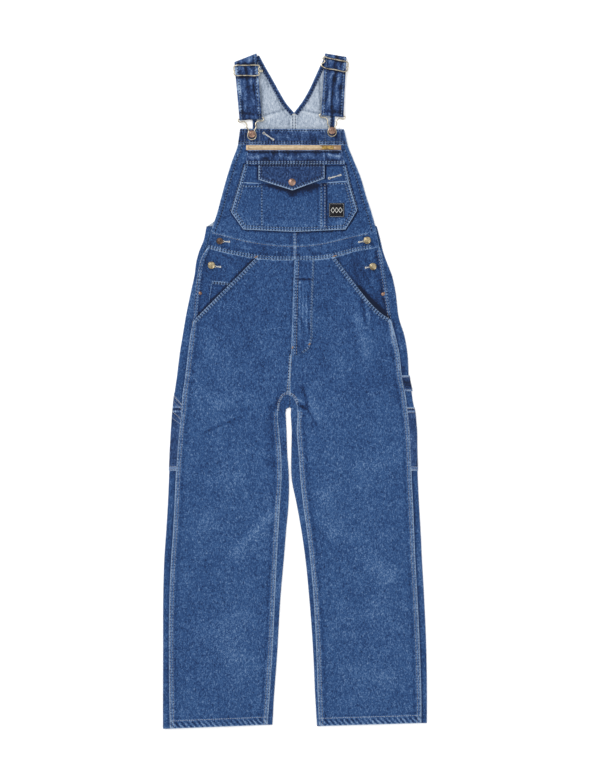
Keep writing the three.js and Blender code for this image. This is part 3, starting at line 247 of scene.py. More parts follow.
def raised(amount):
    return lambda x, y: bodyTop(x, y) + amount


# An object from points in mm and arrays of faces, each array with its own number of corners.
def makeMesh(name, points, faceSets, attributes, material, smoothBelow=50):
    mesh = bpy.data.meshes.new(name)
    mesh.vertices.add(len(points))
    mesh.vertices.foreach_set("co", (np.asarray(points, float) * milli).ravel())
    corners = np.concatenate([f.ravel() for f in faceSets])
    sizes = np.concatenate([np.full(len(f), f.shape[1]) for f in faceSets])
    starts = np.concatenate([[0], np.cumsum(sizes)[:-1]])
    mesh.loops.add(len(corners))
    mesh.loops.foreach_set("vertex_index", corners.astype(np.int32))
    mesh.polygons.add(len(sizes))
    mesh.polygons.foreach_set("loop_start", starts.astype(np.int32))
    mesh.polygons.foreach_set("use_smooth", np.ones(len(sizes), bool))
    for key, value in (attributes or {}).items():
        kind = "FLOAT_VECTOR" if value.ndim == 2 else "FLOAT"
        layer = mesh.attributes.new(key, kind, "POINT")
        layer.data.foreach_set("vector" if value.ndim == 2 else "value", value.astype(np.float32).ravel())
    mesh.update(calc_edges=True)
    mesh.validate()
    if smoothBelow:
        mesh.set_sharp_from_angle(angle=math.radians(smoothBelow))
    piece = bpy.data.objects.new(name, mesh)
    bpy.context.scene.collection.objects.link(piece)
    mesh.materials.append(material)
    return piece


# Quads between neighbouring points of a grid; wrap joins the last column to the first.
def gridFaces(rows, columns, start=0, flip=False, wrap=False):
    r = np.arange(rows - 1)[:, None]
    c = np.arange(columns if wrap else columns - 1)[None, :]
    n = (c + 1) % columns
    quads = np.stack([r * columns + c, r * columns + n, (r + 1) * columns + n, (r + 1) * columns + c], -1)
    quads = quads.reshape(-1, 4) + start
    return quads[:, ::-1] if flip else quads


def volumeOf(points, quads):
    a, b, c, d = (points[quads[:, k]] for k in range(4))
    return float(np.sum(np.cross(b, c) * a) + np.sum(np.cross(c, d) * a))


# A closed wall of cloth between two grids of points, joined round their four edges.
def wall(name, upper, lower, material, attributes):
    rows, columns = upper.shape[:2]
    half = rows * columns
    ids = np.arange(half).reshape(rows, columns)
    rim = np.concatenate([ids[0, :-1], ids[:-1, -1], ids[-1, :0:-1], ids[:0:-1, 0]])
    nextRim = np.roll(rim, -1)
    sides = np.stack([nextRim, rim, rim + half, nextRim + half], -1)
    quads = np.concatenate([gridFaces(rows, columns), gridFaces(rows, columns, half, True), sides])
    points = np.concatenate([upper.reshape(-1, 3), lower.reshape(-1, 3)])
    if volumeOf(points, quads) < 0:
        quads = quads[:, ::-1]
    both = {k: np.concatenate([v.reshape(half, *v.shape[2:])] * 2) for k, v in attributes.items()}
    return makeMesh(name, points, [quads], both, material)


def gridNormals(grid):
    across = np.gradient(grid, axis=1)
    rise = np.gradient(grid, axis=0)
    normal = np.cross(across, rise)
    return normal / (np.linalg.norm(normal, axis=2)[..., None] + 1e-12)


# Shares of a length for a grid's lines: even, with a narrow first and last cell.
def shares(total, cell):
    count = max(2, int(round(total / cell)))
    even = np.linspace(0, 1, count + 1)
    narrow = cloth["edgeCell"] / total
    return np.concatenate([[0, narrow], even[1:-1], [1 - narrow, 1]])


# Coons patch: the blend of the sides plus the blend of the ends less the blend of the four corners.
def patch(left, right, bottom=None, top=None, *, cell, corners=((), ())):
    left, right = np.asarray(left, float), np.asarray(right, float)
    chord = lambda p: np.linalg.norm(np.diff(p, axis=0), axis=1)
    stations = np.concatenate([[0], np.cumsum((chord(left) + chord(right)) / 2)])
    v = shares(stations[-1], cell)
    width = max(np.linalg.norm(left - right, axis=1))
    u = shares(width, cell)
    sideLine = lambda p, sharp: (through(stations, p, v * stations[-1], sharp) if len(p) > 2
                                 else p[0] + v[:, None] * (p[1] - p[0]))
    a, b = sideLine(left, corners[0]), sideLine(right, corners[1])

    def end(points, first, last):
        if points is None:
            return first + u[:, None] * (last - first)
        p = np.asarray(points, float)
        s = lengths(p)
        return np.stack([np.interp(u * s[-1], s, p[:, k]) for k in (0, 1)], 1)

    low, high = end(bottom, left[0], right[0]), end(top, left[-1], right[-1])
    uu, vv = u[None, :, None], v[:, None, None]
    sides = a[:, None] * (1 - uu) + b[:, None] * uu
    ends = low[None] * (1 - vv) + high[None] * vv
    flat = (low[0] * (1 - uu) + low[-1] * uu) * (1 - vv) + (high[0] * (1 - uu) + high[-1] * uu) * vv
    plan = sides + ends - flat
    return plan[..., 0], plan[..., 1]


levels = {}    # the plain height of each flat piece, before its stitching is added
seams = []     # every stitched line
pending = []   # threads that wait until every level and seam is known
ladderStep = 6.7   # mm from one pucker of a seam to the next
ropeTwist = {"step": 12.2, "lean": 0.9}   # mm between the ridges of a roped hem, and their slant
stitchWidth = 0.9
# Colour: slot, darker and lighter shade.
threadLooks = {"pale": ("thread_pale", (128, 134, 146), (166, 168, 172)),
               "blue": ("thread_pale", (84, 106, 136), (126, 144, 166)),
               "tan": ("thread_rust", (92, 96, 106), (138, 134, 130)),
               "rust": ("thread_rust", (112, 84, 66), (152, 122, 94)),
               "dark": ("denim_shaded", (18, 26, 48), (38, 50, 78)),
               "white": ("thread_pale", (166, 168, 166), (206, 204, 198))}
threads = {colour: [] for colour in threadLooks}


# Registers a stitched line on some pieces. rows are the sideways places of its threads in mm, from the
# path.
# A seam without rows only raises the cloth. ladder says how strongly its stitch holes show as dark dashes,
# and
# rope how strongly its band is twisted into slanted ridges, a sine of the length plus the distance.
def seam(path, rows, on, thread="pale", band=4.5, strength=1.0, pitch=ladderStep, corners=(), light=1.0,
         ladder=None, rope=0.0):
    smooth = smoothPath(path, 4, corners)
    if ladder is None:
        ladder = 1.0 if len(rows) else 0.0
    middle = sum(rows) / len(rows) if len(rows) else 0.0
    gap = (max(rows) - min(rows)) / 2 if len(rows) else 0.0
    seams.append({"path": smooth, "on": set(on), "band": band, "strength": strength, "light": light,
                  "ladder": ladder, "middle": middle, "gap": gap, "rope": rope})
    colours = thread if isinstance(thread, (list, tuple)) else [thread] * len(rows)
    for offset, colour in zip(rows, colours):
        pending.append((on[0], shifted(smooth, offset), colour, pitch, None))


# Relief, wear and painted shade of the stitched lines near each place of a piece: a rounded ridge over the
# band, exp(-d4), lighter as worn cloth, with puckers along it, a sine of the length along the line, and
# shallow flanks beside it painted a little darker as shade. The seam field gives the material the length
# along the nearest line, the distance from it, and half the gap of its rows.
def relief(x, y, name):
    height, wearAndShade = np.zeros(np.shape(x)), np.zeros(np.shape(x))
    closest, sewn = np.full(np.shape(x), 1e9), np.zeros(np.shape(x))
    field = np.stack([np.zeros(np.shape(x)), np.full(np.shape(x), 40.0), np.zeros(np.shape(x))], -1)
    for k, entry in enumerate(seams):
        if name not in entry["on"]:
            continue
        d, s, side = nearest(x, y, entry["path"])
        ratio = d / entry["band"]
        ridge = entry["strength"] * np.exp(-ratio ** 4)
        flank = entry["strength"] * np.exp(-((ratio - 1.45) / 0.7) ** 2)
        phase = 2 * np.pi * s / ladderStep + 2.5 * noise(x, y, 38, 5 + k)
        wave = np.sin(phase) * (0.35 + noise(x, y, 24, 8 + k))
        height = height + 0.42 * ridge + wave * (0.07 * ridge + 0.1 * flank)
        wearAndShade = wearAndShade + entry["light"] * (0.07 * ridge + wave * 0.02 * (ridge + flank) - 0.05 * flank)
        if entry["rope"]:
            turn = 2 * np.pi * (s + ropeTwist["lean"] * d * side) / ropeTwist["step"]
            twist = np.sin(turn + 3 * noise(x, y, 50, 17))
            height = height + 0.3 * twist * ridge
            wearAndShade = wearAndShade + entry["rope"] * twist * ridge * (0.6 + 0.8 * noise(x, y, 19, 18))
        if entry["ladder"] == 0:
            continue
        closer = d < closest
        closest = np.where(closer, d, closest)
        field[..., 0] = np.where(closer, s, field[..., 0])
        field[..., 1] = np.where(closer, d * side - entry["middle"], field[..., 1])
        field[..., 2] = np.where(closer, entry["gap"], field[..., 2])
        sewn = np.where(closer, entry["ladder"], sewn)
    return height, wearAndShade, field, sewn


def surface(name, x, y):
    return levels[name](x, y) + relief(x, y, name)[0]


# Adds a thread's stitches at even steps along a path of 3D points.
def addStitches(points, colour, pitch):
    s = lengths(points)
    at = np.arange(pitch / 2, s[-1], pitch)
    if len(at) == 0:
        return
    centre = np.stack([np.interp(at, s, points[:, k]) for k in range(3)], 1)
    ahead = np.stack([np.interp(np.minimum(at + 0.8, s[-1]), s, points[:, k]) for k in range(3)], 1)
    behind = np.stack([np.interp(np.maximum(at - 0.8, 0), s, points[:, k]) for k in range(3)], 1)
    way = ahead - behind
    way /= np.linalg.norm(way, axis=1)[:, None] + 1e-9
    threads[colour].append((centre, way, np.full(len(at), 0.7 * pitch), np.full(len(at), stitchWidth)))


# Bars of thread side by side across a short path, as in a buttonhole's edge or a bartack.
def satinOn(name, path, colour, reach=2.4, pitch=0.75):
    pending.append((name, smoothPath(path, 1.0), colour, pitch, reach))


def sewPending():
    for name, path, colour, pitch, reach in pending:
        z = surface(name, path[:, 0], path[:, 1])
        points = np.column_stack([path, z + 0.12])
        if reach is None:
            addStitches(points, colour, pitch)
            continue
        s = lengths(points)
        at = np.arange(pitch / 2, s[-1], pitch)
        centre = np.stack([np.interp(at, s, points[:, k]) for k in range(3)], 1)
        way = np.stack([np.interp(at, s, np.gradient(points[:, k], s)) for k in range(3)], 1)
        across = np.stack([-way[:, 1], way[:, 0], 0 * at], 1)
        across /= np.linalg.norm(across, axis=1)[:, None] + 1e-9
        centre[:, 2] += 0.25
        threads[colour].append((centre, across, np.full(len(at), reach), np.full(len(at), 0.8)))


# Binds a piece to the body and hides the nodes of the model that it stands for; the slot name is not used.
def attach(piece, slotName, *nodes):
    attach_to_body(piece, body)
    if nodes:
        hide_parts(*nodes)


# Small capsules: four rings of five points each, the ends narrow and sunk, the middle arched over the
# cloth.
def threadPiece(name, colour, material, slotName):
    centre, way, length, width = (np.concatenate([part[k] for part in threads[colour]]) for k in range(4))
    rings, sides = np.array([-0.5, -0.3, 0.3, 0.5]), 5
    girth, lift = np.array([0.3, 1, 1, 0.3]), np.array([-0.2, 0.16, 0.16, -0.2])
    angle = 2 * np.pi * np.arange(sides) / sides
    side = np.cross(way, (0, 0, 1))
    side /= np.linalg.norm(side, axis=1)[:, None] + 1e-9
    up = np.cross(side, way)
    axis = centre[:, None] + rings[None, :, None] * way[:, None] * length[:, None, None]
    axis = axis + lift[None, :, None] * up[:, None]
    radius = 0.5 * width[:, None, None, None] * girth[None, :, None, None]
    ring = np.cos(angle)[:, None] * side[:, None, None] + np.sin(angle)[:, None] * up[:, None, None]
    points = (axis[:, :, None] + radius * ring).reshape(-1, 3)
    one = gridFaces(len(rings), sides, wrap=True)
    start = (np.arange(len(centre)) * len(rings) * sides)[:, None, None]
    caps = np.stack([np.arange(sides)[::-1], np.arange(sides) + (len(rings) - 1) * sides])
    quads = (one[None] + start).reshape(-1, 4)
    ends = (caps[None] + start).reshape(-1, sides)
    if volumeOf(points[:20] - points[:20].mean(0), one) < 0:
        quads, ends = quads[:, ::-1], ends[:, ::-1]
    attach(makeMesh(name, points, [quads, ends], None, material, 0), slotName)


# A flat piece of cloth on a plan grid: its level, the relief of its stitching, and rounded worn edges.
def clothPiece(name, plan, slotName, material, thick=None,
               edgeWear=0.16, base=0.5):
    x, y = plan
    thick = thick or cloth["thick"]
    lift, seamWearAndShade, field, sewn = relief(x, y, name)
    plain = levels[name](x, y)
    upper = np.stack([x, y, plain + lift], -1)
    lower = np.stack([x, y, plain - thick], -1)
    rim, near = np.ones(x.shape), np.ones(x.shape)
    rim[1:-1, 1:-1] = 0
    near[2:-2, 2:-2] = 0
    upper[..., 2] = upper[..., 2] - cloth["edgeDrop"] * rim
    wearAndShade = base + seamWearAndShade + edgeWear * near
    wearAndShade = wearAndShade + 0.05 * (noise(x, y, 70, 13) - 0.5) + 0.05 * (noise(x, y, 23, 14) - 0.5)
    # Painted shade in the crease hollows and painted light on their tops, painted shadows beside edges that
    # lie over this piece, gathered streaks, then the soft marks, with painted shadows among them.
    wearAndShade = wearAndShade + shading(x, y) + shadowsAndGathers(name, x, y)
    wearAndShade = wearAndShade + marks(x, y, tones.get(name, ()))
    piece = wall(name + "_cloth", upper, lower, material, {"wearAndShade": wearAndShade, "seam": field, "sewn": sewn})
    finishSheet(piece, name, slotName)


def finishSheet(piece, node, slotName):
    attach(piece, slotName, node)


# Soft light and dark marks on a piece: light worn streaks, and painted shadows such as the flap's on the
# pocket front, in the open mouth of the right pocket, under the zip tape and at the crotch. From x, y to x,
# y, spread, how much lighter.
tones = {
    "fly": [(11, 250, 12, 190, 2.6, 0.2), (12, 180, 11, 120, 2.4, 0.16), (20, 246, 19, 170, 2.6, 0.17),
            (27, 240, 26, 150, 2.4, 0.13), (15.5, 244, 15, 130, 1.8, -0.14),
            (23.6, 236, 23, 150, 1.8, -0.12),
            (2, 257, 42, 257, 2.2, -0.4), (6, 262, 38, 262, 2.6, 0.1), (6, 250, 34, 250, 3, 0.08),
            (30, 226, 33, 120, 2.4, -0.08)],
    "pocket_front": [(-110, 381, 110, 381, 8, 0.1), (-132, 404, -116, 384, 6, 0.1),
                     (-78, 478, -4.8, 453, 6, -0.16), (-4.8, 453, 66, 478, 8, -0.26),
                     (30, 463, 72, 478, 7, -0.2),
                     (60, 470, 60, 380, 4, -0.08), (52, 400, 64, 384, 9, 0.1),
                     (100, 384, 112, 392, 7, 0.1)],
    "pocket_base": [(-84, 516, -84, 486, 3, -0.12), (70, 516, 70, 492, 3, -0.12),
                    (-117, 500, -96, 500, 10, 0.04)],
    "pocket_facing_right": [(94, 300, 150, 226, 6, -0.22), (150, 226, 200, 180, 9, -0.34),
                            (186, 300, 186, 240, 5, 0.05)],
    "pocket_facing_left": [(-94, 300, -150, 244, 5, -0.18), (-150, 244, -214, 180, 5, -0.16)],
    "coin_pocket": [(-150, 244, -194, 204, 5, -0.14)],
    "front_leg_left": [(-42, -62, -40, -122, 4, -0.16), (-33, -14, -56, -40, 6, -0.14),
                       (-206, -94, -114, -55, 4.5, -0.13), (-206, -86, -114, -47, 5, 0.05),
                       (-134, -25, -102, -16, 4.5, -0.12), (-68, -158, -36, -170, 5, -0.12),
                       (-250, 26, -232, 20, 5, -0.12),
                       (-40, -280, -123, -368, 8, -0.08), (-50, -286, -130, -372, 8, 0.06),
                       (-250, 26, -200, -30, 7, -0.05), (-16, 60, -20, -2, 5, 0.05)],
    "front_leg_right": [(15, -32, 26, -42, 3.4, -0.3), (33, -48, 50, -78, 4, -0.22),
                        (19, 7, 31, -39, 4, -0.2),
                        (6, -18, 20, -30, 4, 0.2), (24, -44, 36, -70, 4, 0.12),
                        (155, 210, 164, 152, 4, -0.2),
                        (163, 214, 172, 156, 5, 0.12), (172, 200, 182, 140, 4, -0.1),
                        (222, 161, 226, 136, 4, 0.34), (216, 150, 222, 110, 5, 0.12),
                        (226, 130, 240, 50, 3.4, 0.16), (150, 232, 200, 182, 4, 0.08),
                        (62, 120, 70, 60, 12, -0.05)],
    "bib_top_band": [(-60, 600, 60, 600, 4, -0.06), (-120, 586, -80, 586, 4, -0.06)],
    "zip_pocket": [(-104, 550, 104, 550, 2.6, -0.5), (80, 543, 104, 539, 3, 0.4),
                   (-104, 536, -70, 541, 3.4, 0.24),
                   (-40, 536, 60, 536, 6, 0.08), (-100, 529.6, 106, 529.6, 1.6, -0.2)],
    "zip_tape": [(62, 563.6, 106, 563.2, 1.6, -0.9), (62, 555.4, 106, 555.4, 1.6, -0.7),
                 (-111, 564.6, 60, 564.6, 1, -0.2),
                 (-111, 554.8, 60, 554.8, 1, -0.3), (-104, 559, -98, 559, 2.4, -0.5),
                 (97, 560, 106, 560, 3, -0.4)],
    "back_bib_left": [(-70, 634, -14, 651, 2.4, -0.3), (-68, 628, -14, 645, 2.6, 0.16),
                      (-24, 640, -56, 706, 2.6, -0.2),
                      (-60, 700, -72, 738, 2.6, -0.26), (-40, 672, -60, 640, 3, -0.14),
                      (-12, 630, -14, 606, 2.4, -0.16),
                      (-76, 700, -76, 640, 4, -0.24), (-50, 660, -64, 620, 4, 0.12)],
    "back_bib_right": [(8, 650, 58, 638, 2.4, -0.3), (8, 644, 58, 632, 2.6, 0.16),
                       (30, 664, 44, 706, 2.6, -0.18),
                       (16, 640, 26, 668, 2.6, -0.14), (56, 720, 60, 650, 3.4, -0.3),
                       (40, 700, 34, 654, 3, 0.1)],
}


# A line beside a side seam, from the hem to the pocket.
def besideSeam(leg, hip, out):
    return [(p[3] + out, p[0]) for p in leg] + [(p[2] + out, p[0]) for p in hip[:4]]


# Painted shadows: dark lines on a piece just outside the edge of another that lies on it: points, spread,
# how much darker.
outline = [(-116, 523), (-130, 471), (-148.2, 411), (-119, 369.4), (0, 363.6), (118, 369.4), (146, 415),
           (128.6, 474), (118, 523)]
shadows = {
    "bib_left": [(outline[:5], 1.7, 0.3), ([(-116, 519.6), (-104, 519.6)], 2.4, 0.4),
                 ([(0, 552.6), (-112, 552.6)], 2, 0.3)],
    "bib_right": [(outline[4:], 1.7, 0.42), ([(104, 519.6), (118, 519.6)], 2.4, 0.4),
                  ([(0, 552.6), (112, 552.6)], 2, 0.3)],
    "pocket_base": [([(-114, 519.6), (116, 519.6)], 2.4, 0.5), ([(-85, 518), (-85, 488)], 2.4, 0.3),
                    ([(71, 518), (71, 488)], 2.4, 0.34)],
    "pocket_front": [([(-84, 482.6), (-4.8, 457.4), (70, 486)], 3.4, 0.5),
                     ([(73.6, 478), (73.6, 374)], 2.2, 0.3)],
    "front_leg_left": [([(-6.6, 84), (-6.4, 106), (-5.6, 170), (-4.2, 232), (-1.8, 300)], 2.2, 0.24)],
    "back_leg_left": [(besideSeam(leftLeg, leftHip, -3.4), 2, 0.1),
                      ([(-37.5, -56), (-36.4, -80), (-33.4, -124)], 3.2, 0.6),
                      ([(-30, -8), (-22, 0)], 3, 0.2)],
    "back_leg_right": [(besideSeam(rightLeg, rightHip, 3.4), 2.2, 0.22),
                       ([(8, -30), (3, -62), (2, -90)], 3, 0.2)],
    "pocket_facing_right": [([(148, 237), (178, 204), (199, 184), (216, 170)], 4.5, 0.9)],
    "pocket_facing_left": [([(-89, 309), (-142, 256.6), (-202, 196.4), (-226, 170)], 2.6, 0.3)],
    "pocket_flap": [([(-84, 519.4), (70, 519.4)], 2.2, 0.55)],
    "coin_pocket": [([(-142, 256.6), (-202, 196.4)], 2.6, 0.3)],
    "waistband_left": [([(-6.2, 304), (-6.2, 336)], 1.8, 0.14)],
}
# Gathered cloth: streaks of painted light and shade for small puckers that have no relief of their own,
# with some real fading; how strong, how wide and how tall its streaks are.
gathers = {"zip_pocket": (0.42, 8, 18), "bib_top_band": (0.36, 9, 16), "waistband_left": (0.14, 10, 30),
           "waistband_right": (0.14, 10, 30), "fly": (0.2, 5, 40), "pocket_facing_left": (0.1, 12, 40),
           "pocket_facing_right": (0.14, 12, 40)}


# Painted shadows just outside edges that lie over the piece, plus the gathered streaks of painted light and
# shade.
def shadowsAndGathers(name, x, y):
    total = np.zeros(np.shape(x))
    for points, spread, amount in shadows.get(name, ()):
        total = total - amount * np.exp(-(nearest(x, y, np.array(points, float))[0] / spread) ** 2)
    strong, wide, tall = gathers.get(name, (0, 1, 1))
    lean = x + 0.25 * y + 9 * noise(x, y, 26, 23)
    down = y * wide / tall
    streaks = noise(lean, down, wide, 21) + 0.8 * noise(lean, down, 0.45 * wide, 22) - 0.9
    return total + strong * streaks


# Painted shade in the hollows of the creases and painted light on their tops; also a little lighter down
# the legs and a little darker towards the top.
def shading(x, y):
    return 0.12 * np.clip(marks(x, y, creases), -1, 1) + 0.025 * step(40, -60, y) - 0.02 * step(60, 200, y)


def curveBetween(points, fromX, toX):
    x = np.linspace(fromX, toX, 60)
    return np.column_stack([x, through(points[:, 0], points[:, 1], x)])


print("materials")


def newMaterial(name):
    material = bpy.data.materials.new(name)
    material.use_nodes = True
    tree = material.node_tree
    return material, tree, tree.nodes["Principled BSDF"]


def mapped(tree, scale, turn=0.0):
    place = tree.nodes.new("ShaderNodeTexCoord")
    mapping = tree.nodes.new("ShaderNodeMapping")
    mapping.inputs["Scale"].default_value = scale
    mapping.inputs["Rotation"].default_value = (0, 0, math.radians(turn))
    tree.links.new(place.outputs["Object"], mapping.inputs["Vector"])
    return mapping.outputs["Vector"]


def noiseNode(tree, vector, detail=3.0, roughness=0.55):
    texture = tree.nodes.new("ShaderNodeTexNoise")
    texture.inputs["Scale"].default_value = 1.0
    texture.inputs["Detail"].default_value = detail
    texture.inputs["Roughness"].default_value = roughness
    tree.links.new(vector, texture.inputs["Vector"])
    return texture.outputs["Fac"]


# value + weight * (other - 0.5)
def addCentred(tree, value, other, weight):
    part = tree.nodes.new("ShaderNodeMath")
    part.operation = "MULTIPLY_ADD"
    part.inputs[1].default_value = weight
    part.inputs[2].default_value = -0.5 * weight
    tree.links.new(other, part.inputs[0])
    total = tree.nodes.new("ShaderNodeMath")
    total.operation = "ADD"
    tree.links.new(value, total.inputs[0])
    tree.links.new(part.outputs[0], total.inputs[1])
    return total.outputs[0]


def ramp(tree, factor, stops):
    node = tree.nodes.new("ShaderNodeValToRGB")
    band = node.color_ramp
    while len(band.elements) < len(stops):
        band.elements.new(0.5)
    for element, (place, colour) in zip(band.elements, stops):
        element.position = place
        element.color = colour
    tree.links.new(factor, node.inputs["Fac"])
    return node.outputs["Color"]


def bumpNode(tree, height, strength, distance, after=None):
    bump = tree.nodes.new("ShaderNodeBump")
    bump.inputs["Strength"].default_value = strength
    bump.inputs["Distance"].default_value = distance
    tree.links.new(height, bump.inputs["Height"])
    if after:
        tree.links.new(after, bump.inputs["Normal"])
    return bump.outputs["Normal"]


def mathNode(tree, operation, first, second=None, third=None):
    node = tree.nodes.new("ShaderNodeMath")
    node.operation = operation
    for k, value in enumerate((first, second, third)):
        if isinstance(value, (int, float)):
            node.inputs[k].default_value = value
        elif value is not None:
            tree.links.new(value, node.inputs[k])
    return node.outputs[0]


# From 1 at low to 0 at high, in a smooth step.
def fallNode(tree, value, low, high):
    node = tree.nodes.new("ShaderNodeMapRange")
    node.interpolation_type = "SMOOTHSTEP"
    for key, number in (("From Min", low), ("From Max", high), ("To Min", 1.0), ("To Max", 0.0)):
        node.inputs[key].default_value = number
    tree.links.new(value, node.inputs["Value"])
    return node.outputs["Result"]


sewnLook = {"hole": -0.62, "thread": 0.2, "pulled": 0.55}   # how much each mark lightens the cloth


# Marks of a stitched line: dark dashes in its rows where the thread dives, lighter cloth between them, and
# streaks of pulled cloth that fade away from the line.
def sewnFactor(tree, factor):
    make = lambda *given: mathNode(tree, *given)
    field = tree.nodes.new("ShaderNodeAttribute")
    field.attribute_name = "seam"
    sewn = tree.nodes.new("ShaderNodeAttribute")
    sewn.attribute_name = "sewn"
    parts = tree.nodes.new("ShaderNodeSeparateXYZ")
    tree.links.new(field.outputs["Vector"], parts.inputs["Vector"])
    along, away, gap = parts.outputs
    far = make("ABSOLUTE", away)
    row = fallNode(tree, make("ABSOLUTE", make("SUBTRACT", far, gap)), 0.6, 2.1)
    turn = make("MULTIPLY_ADD", along, 2 * math.pi / ladderStep, math.pi)
    dash = fallNode(tree, make("COSINE", turn), -0.5, 0.2)
    strength = make("MULTIPLY", sewn.outputs["Fac"], row)
    factor = make("MULTIPLY_ADD", make("MULTIPLY", dash, strength), sewnLook["hole"], factor)
    lit = make("MULTIPLY", make("SUBTRACT", 1.0, dash), strength)
    factor = make("MULTIPLY_ADD", lit, sewnLook["thread"], factor)
    outside = make("SUBTRACT", far, gap)
    pulled = fallNode(tree, outside, 1.5, 10.0)
    vector = tree.nodes.new("ShaderNodeCombineXYZ")
    tree.links.new(make("MULTIPLY", along, 0.32), vector.inputs["X"])
    tree.links.new(make("MULTIPLY", away, 0.03), vector.inputs["Y"])
    streak = make("SUBTRACT", noiseNode(tree, vector.outputs["Vector"], 2, 0.6), 0.47)
    streak = make("MULTIPLY", make("MULTIPLY", streak, pulled), sewn.outputs["Fac"])
    return make("MULTIPLY_ADD", streak, sewnLook["pulled"], factor)


weave = {"twill": 32, "roughness": 0.92, "sheen": 0.05, "specular": 0.2}   # twill: its angle in degrees


# Woven cloth: the attribute of worn cloth and painted shade, slubs along the warp, a heather of fine flecks
# and soft blotches choose the colour on a ramp; a twill of fine diagonals and the flecks give the bump.
def wovenMaterial(name, stops, slub=0.35, fleck=0.8, blotch=0.07):
    material, tree, shader = newMaterial(name)
    wearAndShade = tree.nodes.new("ShaderNodeAttribute")
    wearAndShade.attribute_name = "wearAndShade"
    slubs = noiseNode(tree, mapped(tree, (620, 75, 200)), 3, 0.6)
    flecks = noiseNode(tree, mapped(tree, (900, 430, 500)), 2, 0.7)
    blotches = noiseNode(tree, mapped(tree, (32, 18, 30)), 4, 0.6)
    heather = noiseNode(tree, mapped(tree, (330, 210, 300)), 3, 0.75)
    factor = addCentred(tree, wearAndShade.outputs["Fac"], slubs, slub)
    factor = addCentred(tree, factor, flecks, fleck)
    factor = addCentred(tree, factor, heather, fleck)
    factor = addCentred(tree, factor, blotches, blotch)
    factor = sewnFactor(tree, factor)
    wave = tree.nodes.new("ShaderNodeTexWave")
    wave.inputs["Scale"].default_value = 1.0
    wave.inputs["Distortion"].default_value = 1.2
    wave.inputs["Detail"].default_value = 1.0
    tree.links.new(mapped(tree, (190, 190, 190), weave["twill"]), wave.inputs["Vector"])
    factor = addCentred(tree, factor, wave.outputs["Fac"], 0.1)
    tree.links.new(ramp(tree, factor, stops), shader.inputs["Base Color"])
    normal = bumpNode(tree, wave.outputs["Fac"], 0.35, 0.0003)
    normal = bumpNode(tree, flecks, 0.5, 0.0005, normal)
    normal = bumpNode(tree, heather, 0.3, 0.0008, normal)
    tree.links.new(normal, shader.inputs["Normal"])
    shader.inputs["Roughness"].default_value = weave["roughness"]
    shader.inputs["Sheen Weight"].default_value = weave["sheen"]
    shader.inputs["Specular IOR Level"].default_value = weave["specular"]
    return material


denim = wovenMaterial("denimWashed", [
    (0.1, srgb(6, 17, 40)), (0.32, srgb(16, 39, 78)), (0.5, srgb(30, 61, 105)), (0.68, srgb(52, 84, 126)),
    (0.95, srgb(118, 140, 168))], fleck=1.15)
denimDeep = wovenMaterial("denimDeep", [
    (0.1, srgb(7, 17, 38)), (0.32, srgb(19, 39, 76)), (0.5, srgb(35, 60, 101)), (0.68, srgb(60, 86, 127)),
    (0.95, srgb(126, 146, 172))], slub=0.5, fleck=1.15)
reverse = wovenMaterial("denimReverse", [
    (0.1, srgb(84, 96, 112)), (0.4, srgb(132, 143, 158)), (0.6, srgb(154, 164, 177)),
    (0.95, srgb(188, 194, 200))],
    slub=0.8, fleck=1.0, blotch=0.5)
tapeCloth = wovenMaterial("zipTape", [
    (0.1, srgb(128, 104, 80)), (0.5, srgb(182, 158, 128)), (0.9, srgb(210, 196, 172))], slub=0.5, fleck=0.8,
    blotch=0.5)
patchCloth = wovenMaterial("patchCloth", [
    (0.1, srgb(8, 8, 10)), (0.6, srgb(20, 19, 24)), (0.95, srgb(60, 58, 64))], slub=0.2, fleck=0.3,
    blotch=0.1)


# Metal with a soft patina: two noises mix the colour and vary the roughness.
def metalMaterial(name, dark, light, roughness=0.36, metallic=1.0):
    material, tree, shader = newMaterial(name)
    fine = noiseNode(tree, mapped(tree, (420, 420, 420)), 4, 0.65)
    wide = noiseNode(tree, mapped(tree, (130, 130, 130)), 3, 0.5)
    factor = addCentred(tree, wide, fine, 0.8)
    tree.links.new(ramp(tree, factor, [(0.25, dark), (0.75, light)]), shader.inputs["Base Color"])
    gloss = tree.nodes.new("ShaderNodeMapRange")
    gloss.inputs["To Min"].default_value = roughness - 0.1
    gloss.inputs["To Max"].default_value = roughness + 0.16
    tree.links.new(factor, gloss.inputs["Value"])
    tree.links.new(gloss.outputs["Result"], shader.inputs["Roughness"])
    tree.links.new(bumpNode(tree, fine, 0.25, 0.0002), shader.inputs["Normal"])
    shader.inputs["Metallic"].default_value = metallic
    return material


brass = metalMaterial("wireBrass", srgb(116, 106, 88), srgb(212, 204, 184), 0.3)
copper = metalMaterial("buttonCopper", srgb(84, 62, 54), srgb(168, 138, 122), 0.34)
bronze = metalMaterial("buttonBronze", srgb(84, 72, 54), srgb(190, 176, 144), 0.3)
darkMetal = metalMaterial("buttonDark", srgb(36, 32, 34), srgb(112, 92, 80), 0.4)
zipBrass = metalMaterial("zipBrass", srgb(84, 64, 32), srgb(196, 164, 98), 0.3)


def threadMaterial(name, colour, lighter):
    material, tree, shader = newMaterial(name)
    fine = noiseNode(tree, mapped(tree, (900, 900, 900)), 2, 0.6)
    tree.links.new(ramp(tree, fine, [(0.3, colour), (0.7, lighter)]), shader.inputs["Base Color"])
    tree.links.new(bumpNode(tree, fine, 0.4, 0.0002), shader.inputs["Normal"])
    shader.inputs["Roughness"].default_value = 0.75
    shader.inputs["Sheen Weight"].default_value = 0.1
    return material


print("legs")

mouths = {-1: leftMouth, 1: rightMouth}
tables = {-1: (leftLeg, leftCrotch, leftHip), 1: (rightLeg, rightCrotch, rightHip)}
sideName = {-1: "left", 1: "right"}
gapeLine = np.array([(158, 226), (196, 184)])   # where the right pocket's mouth stands open


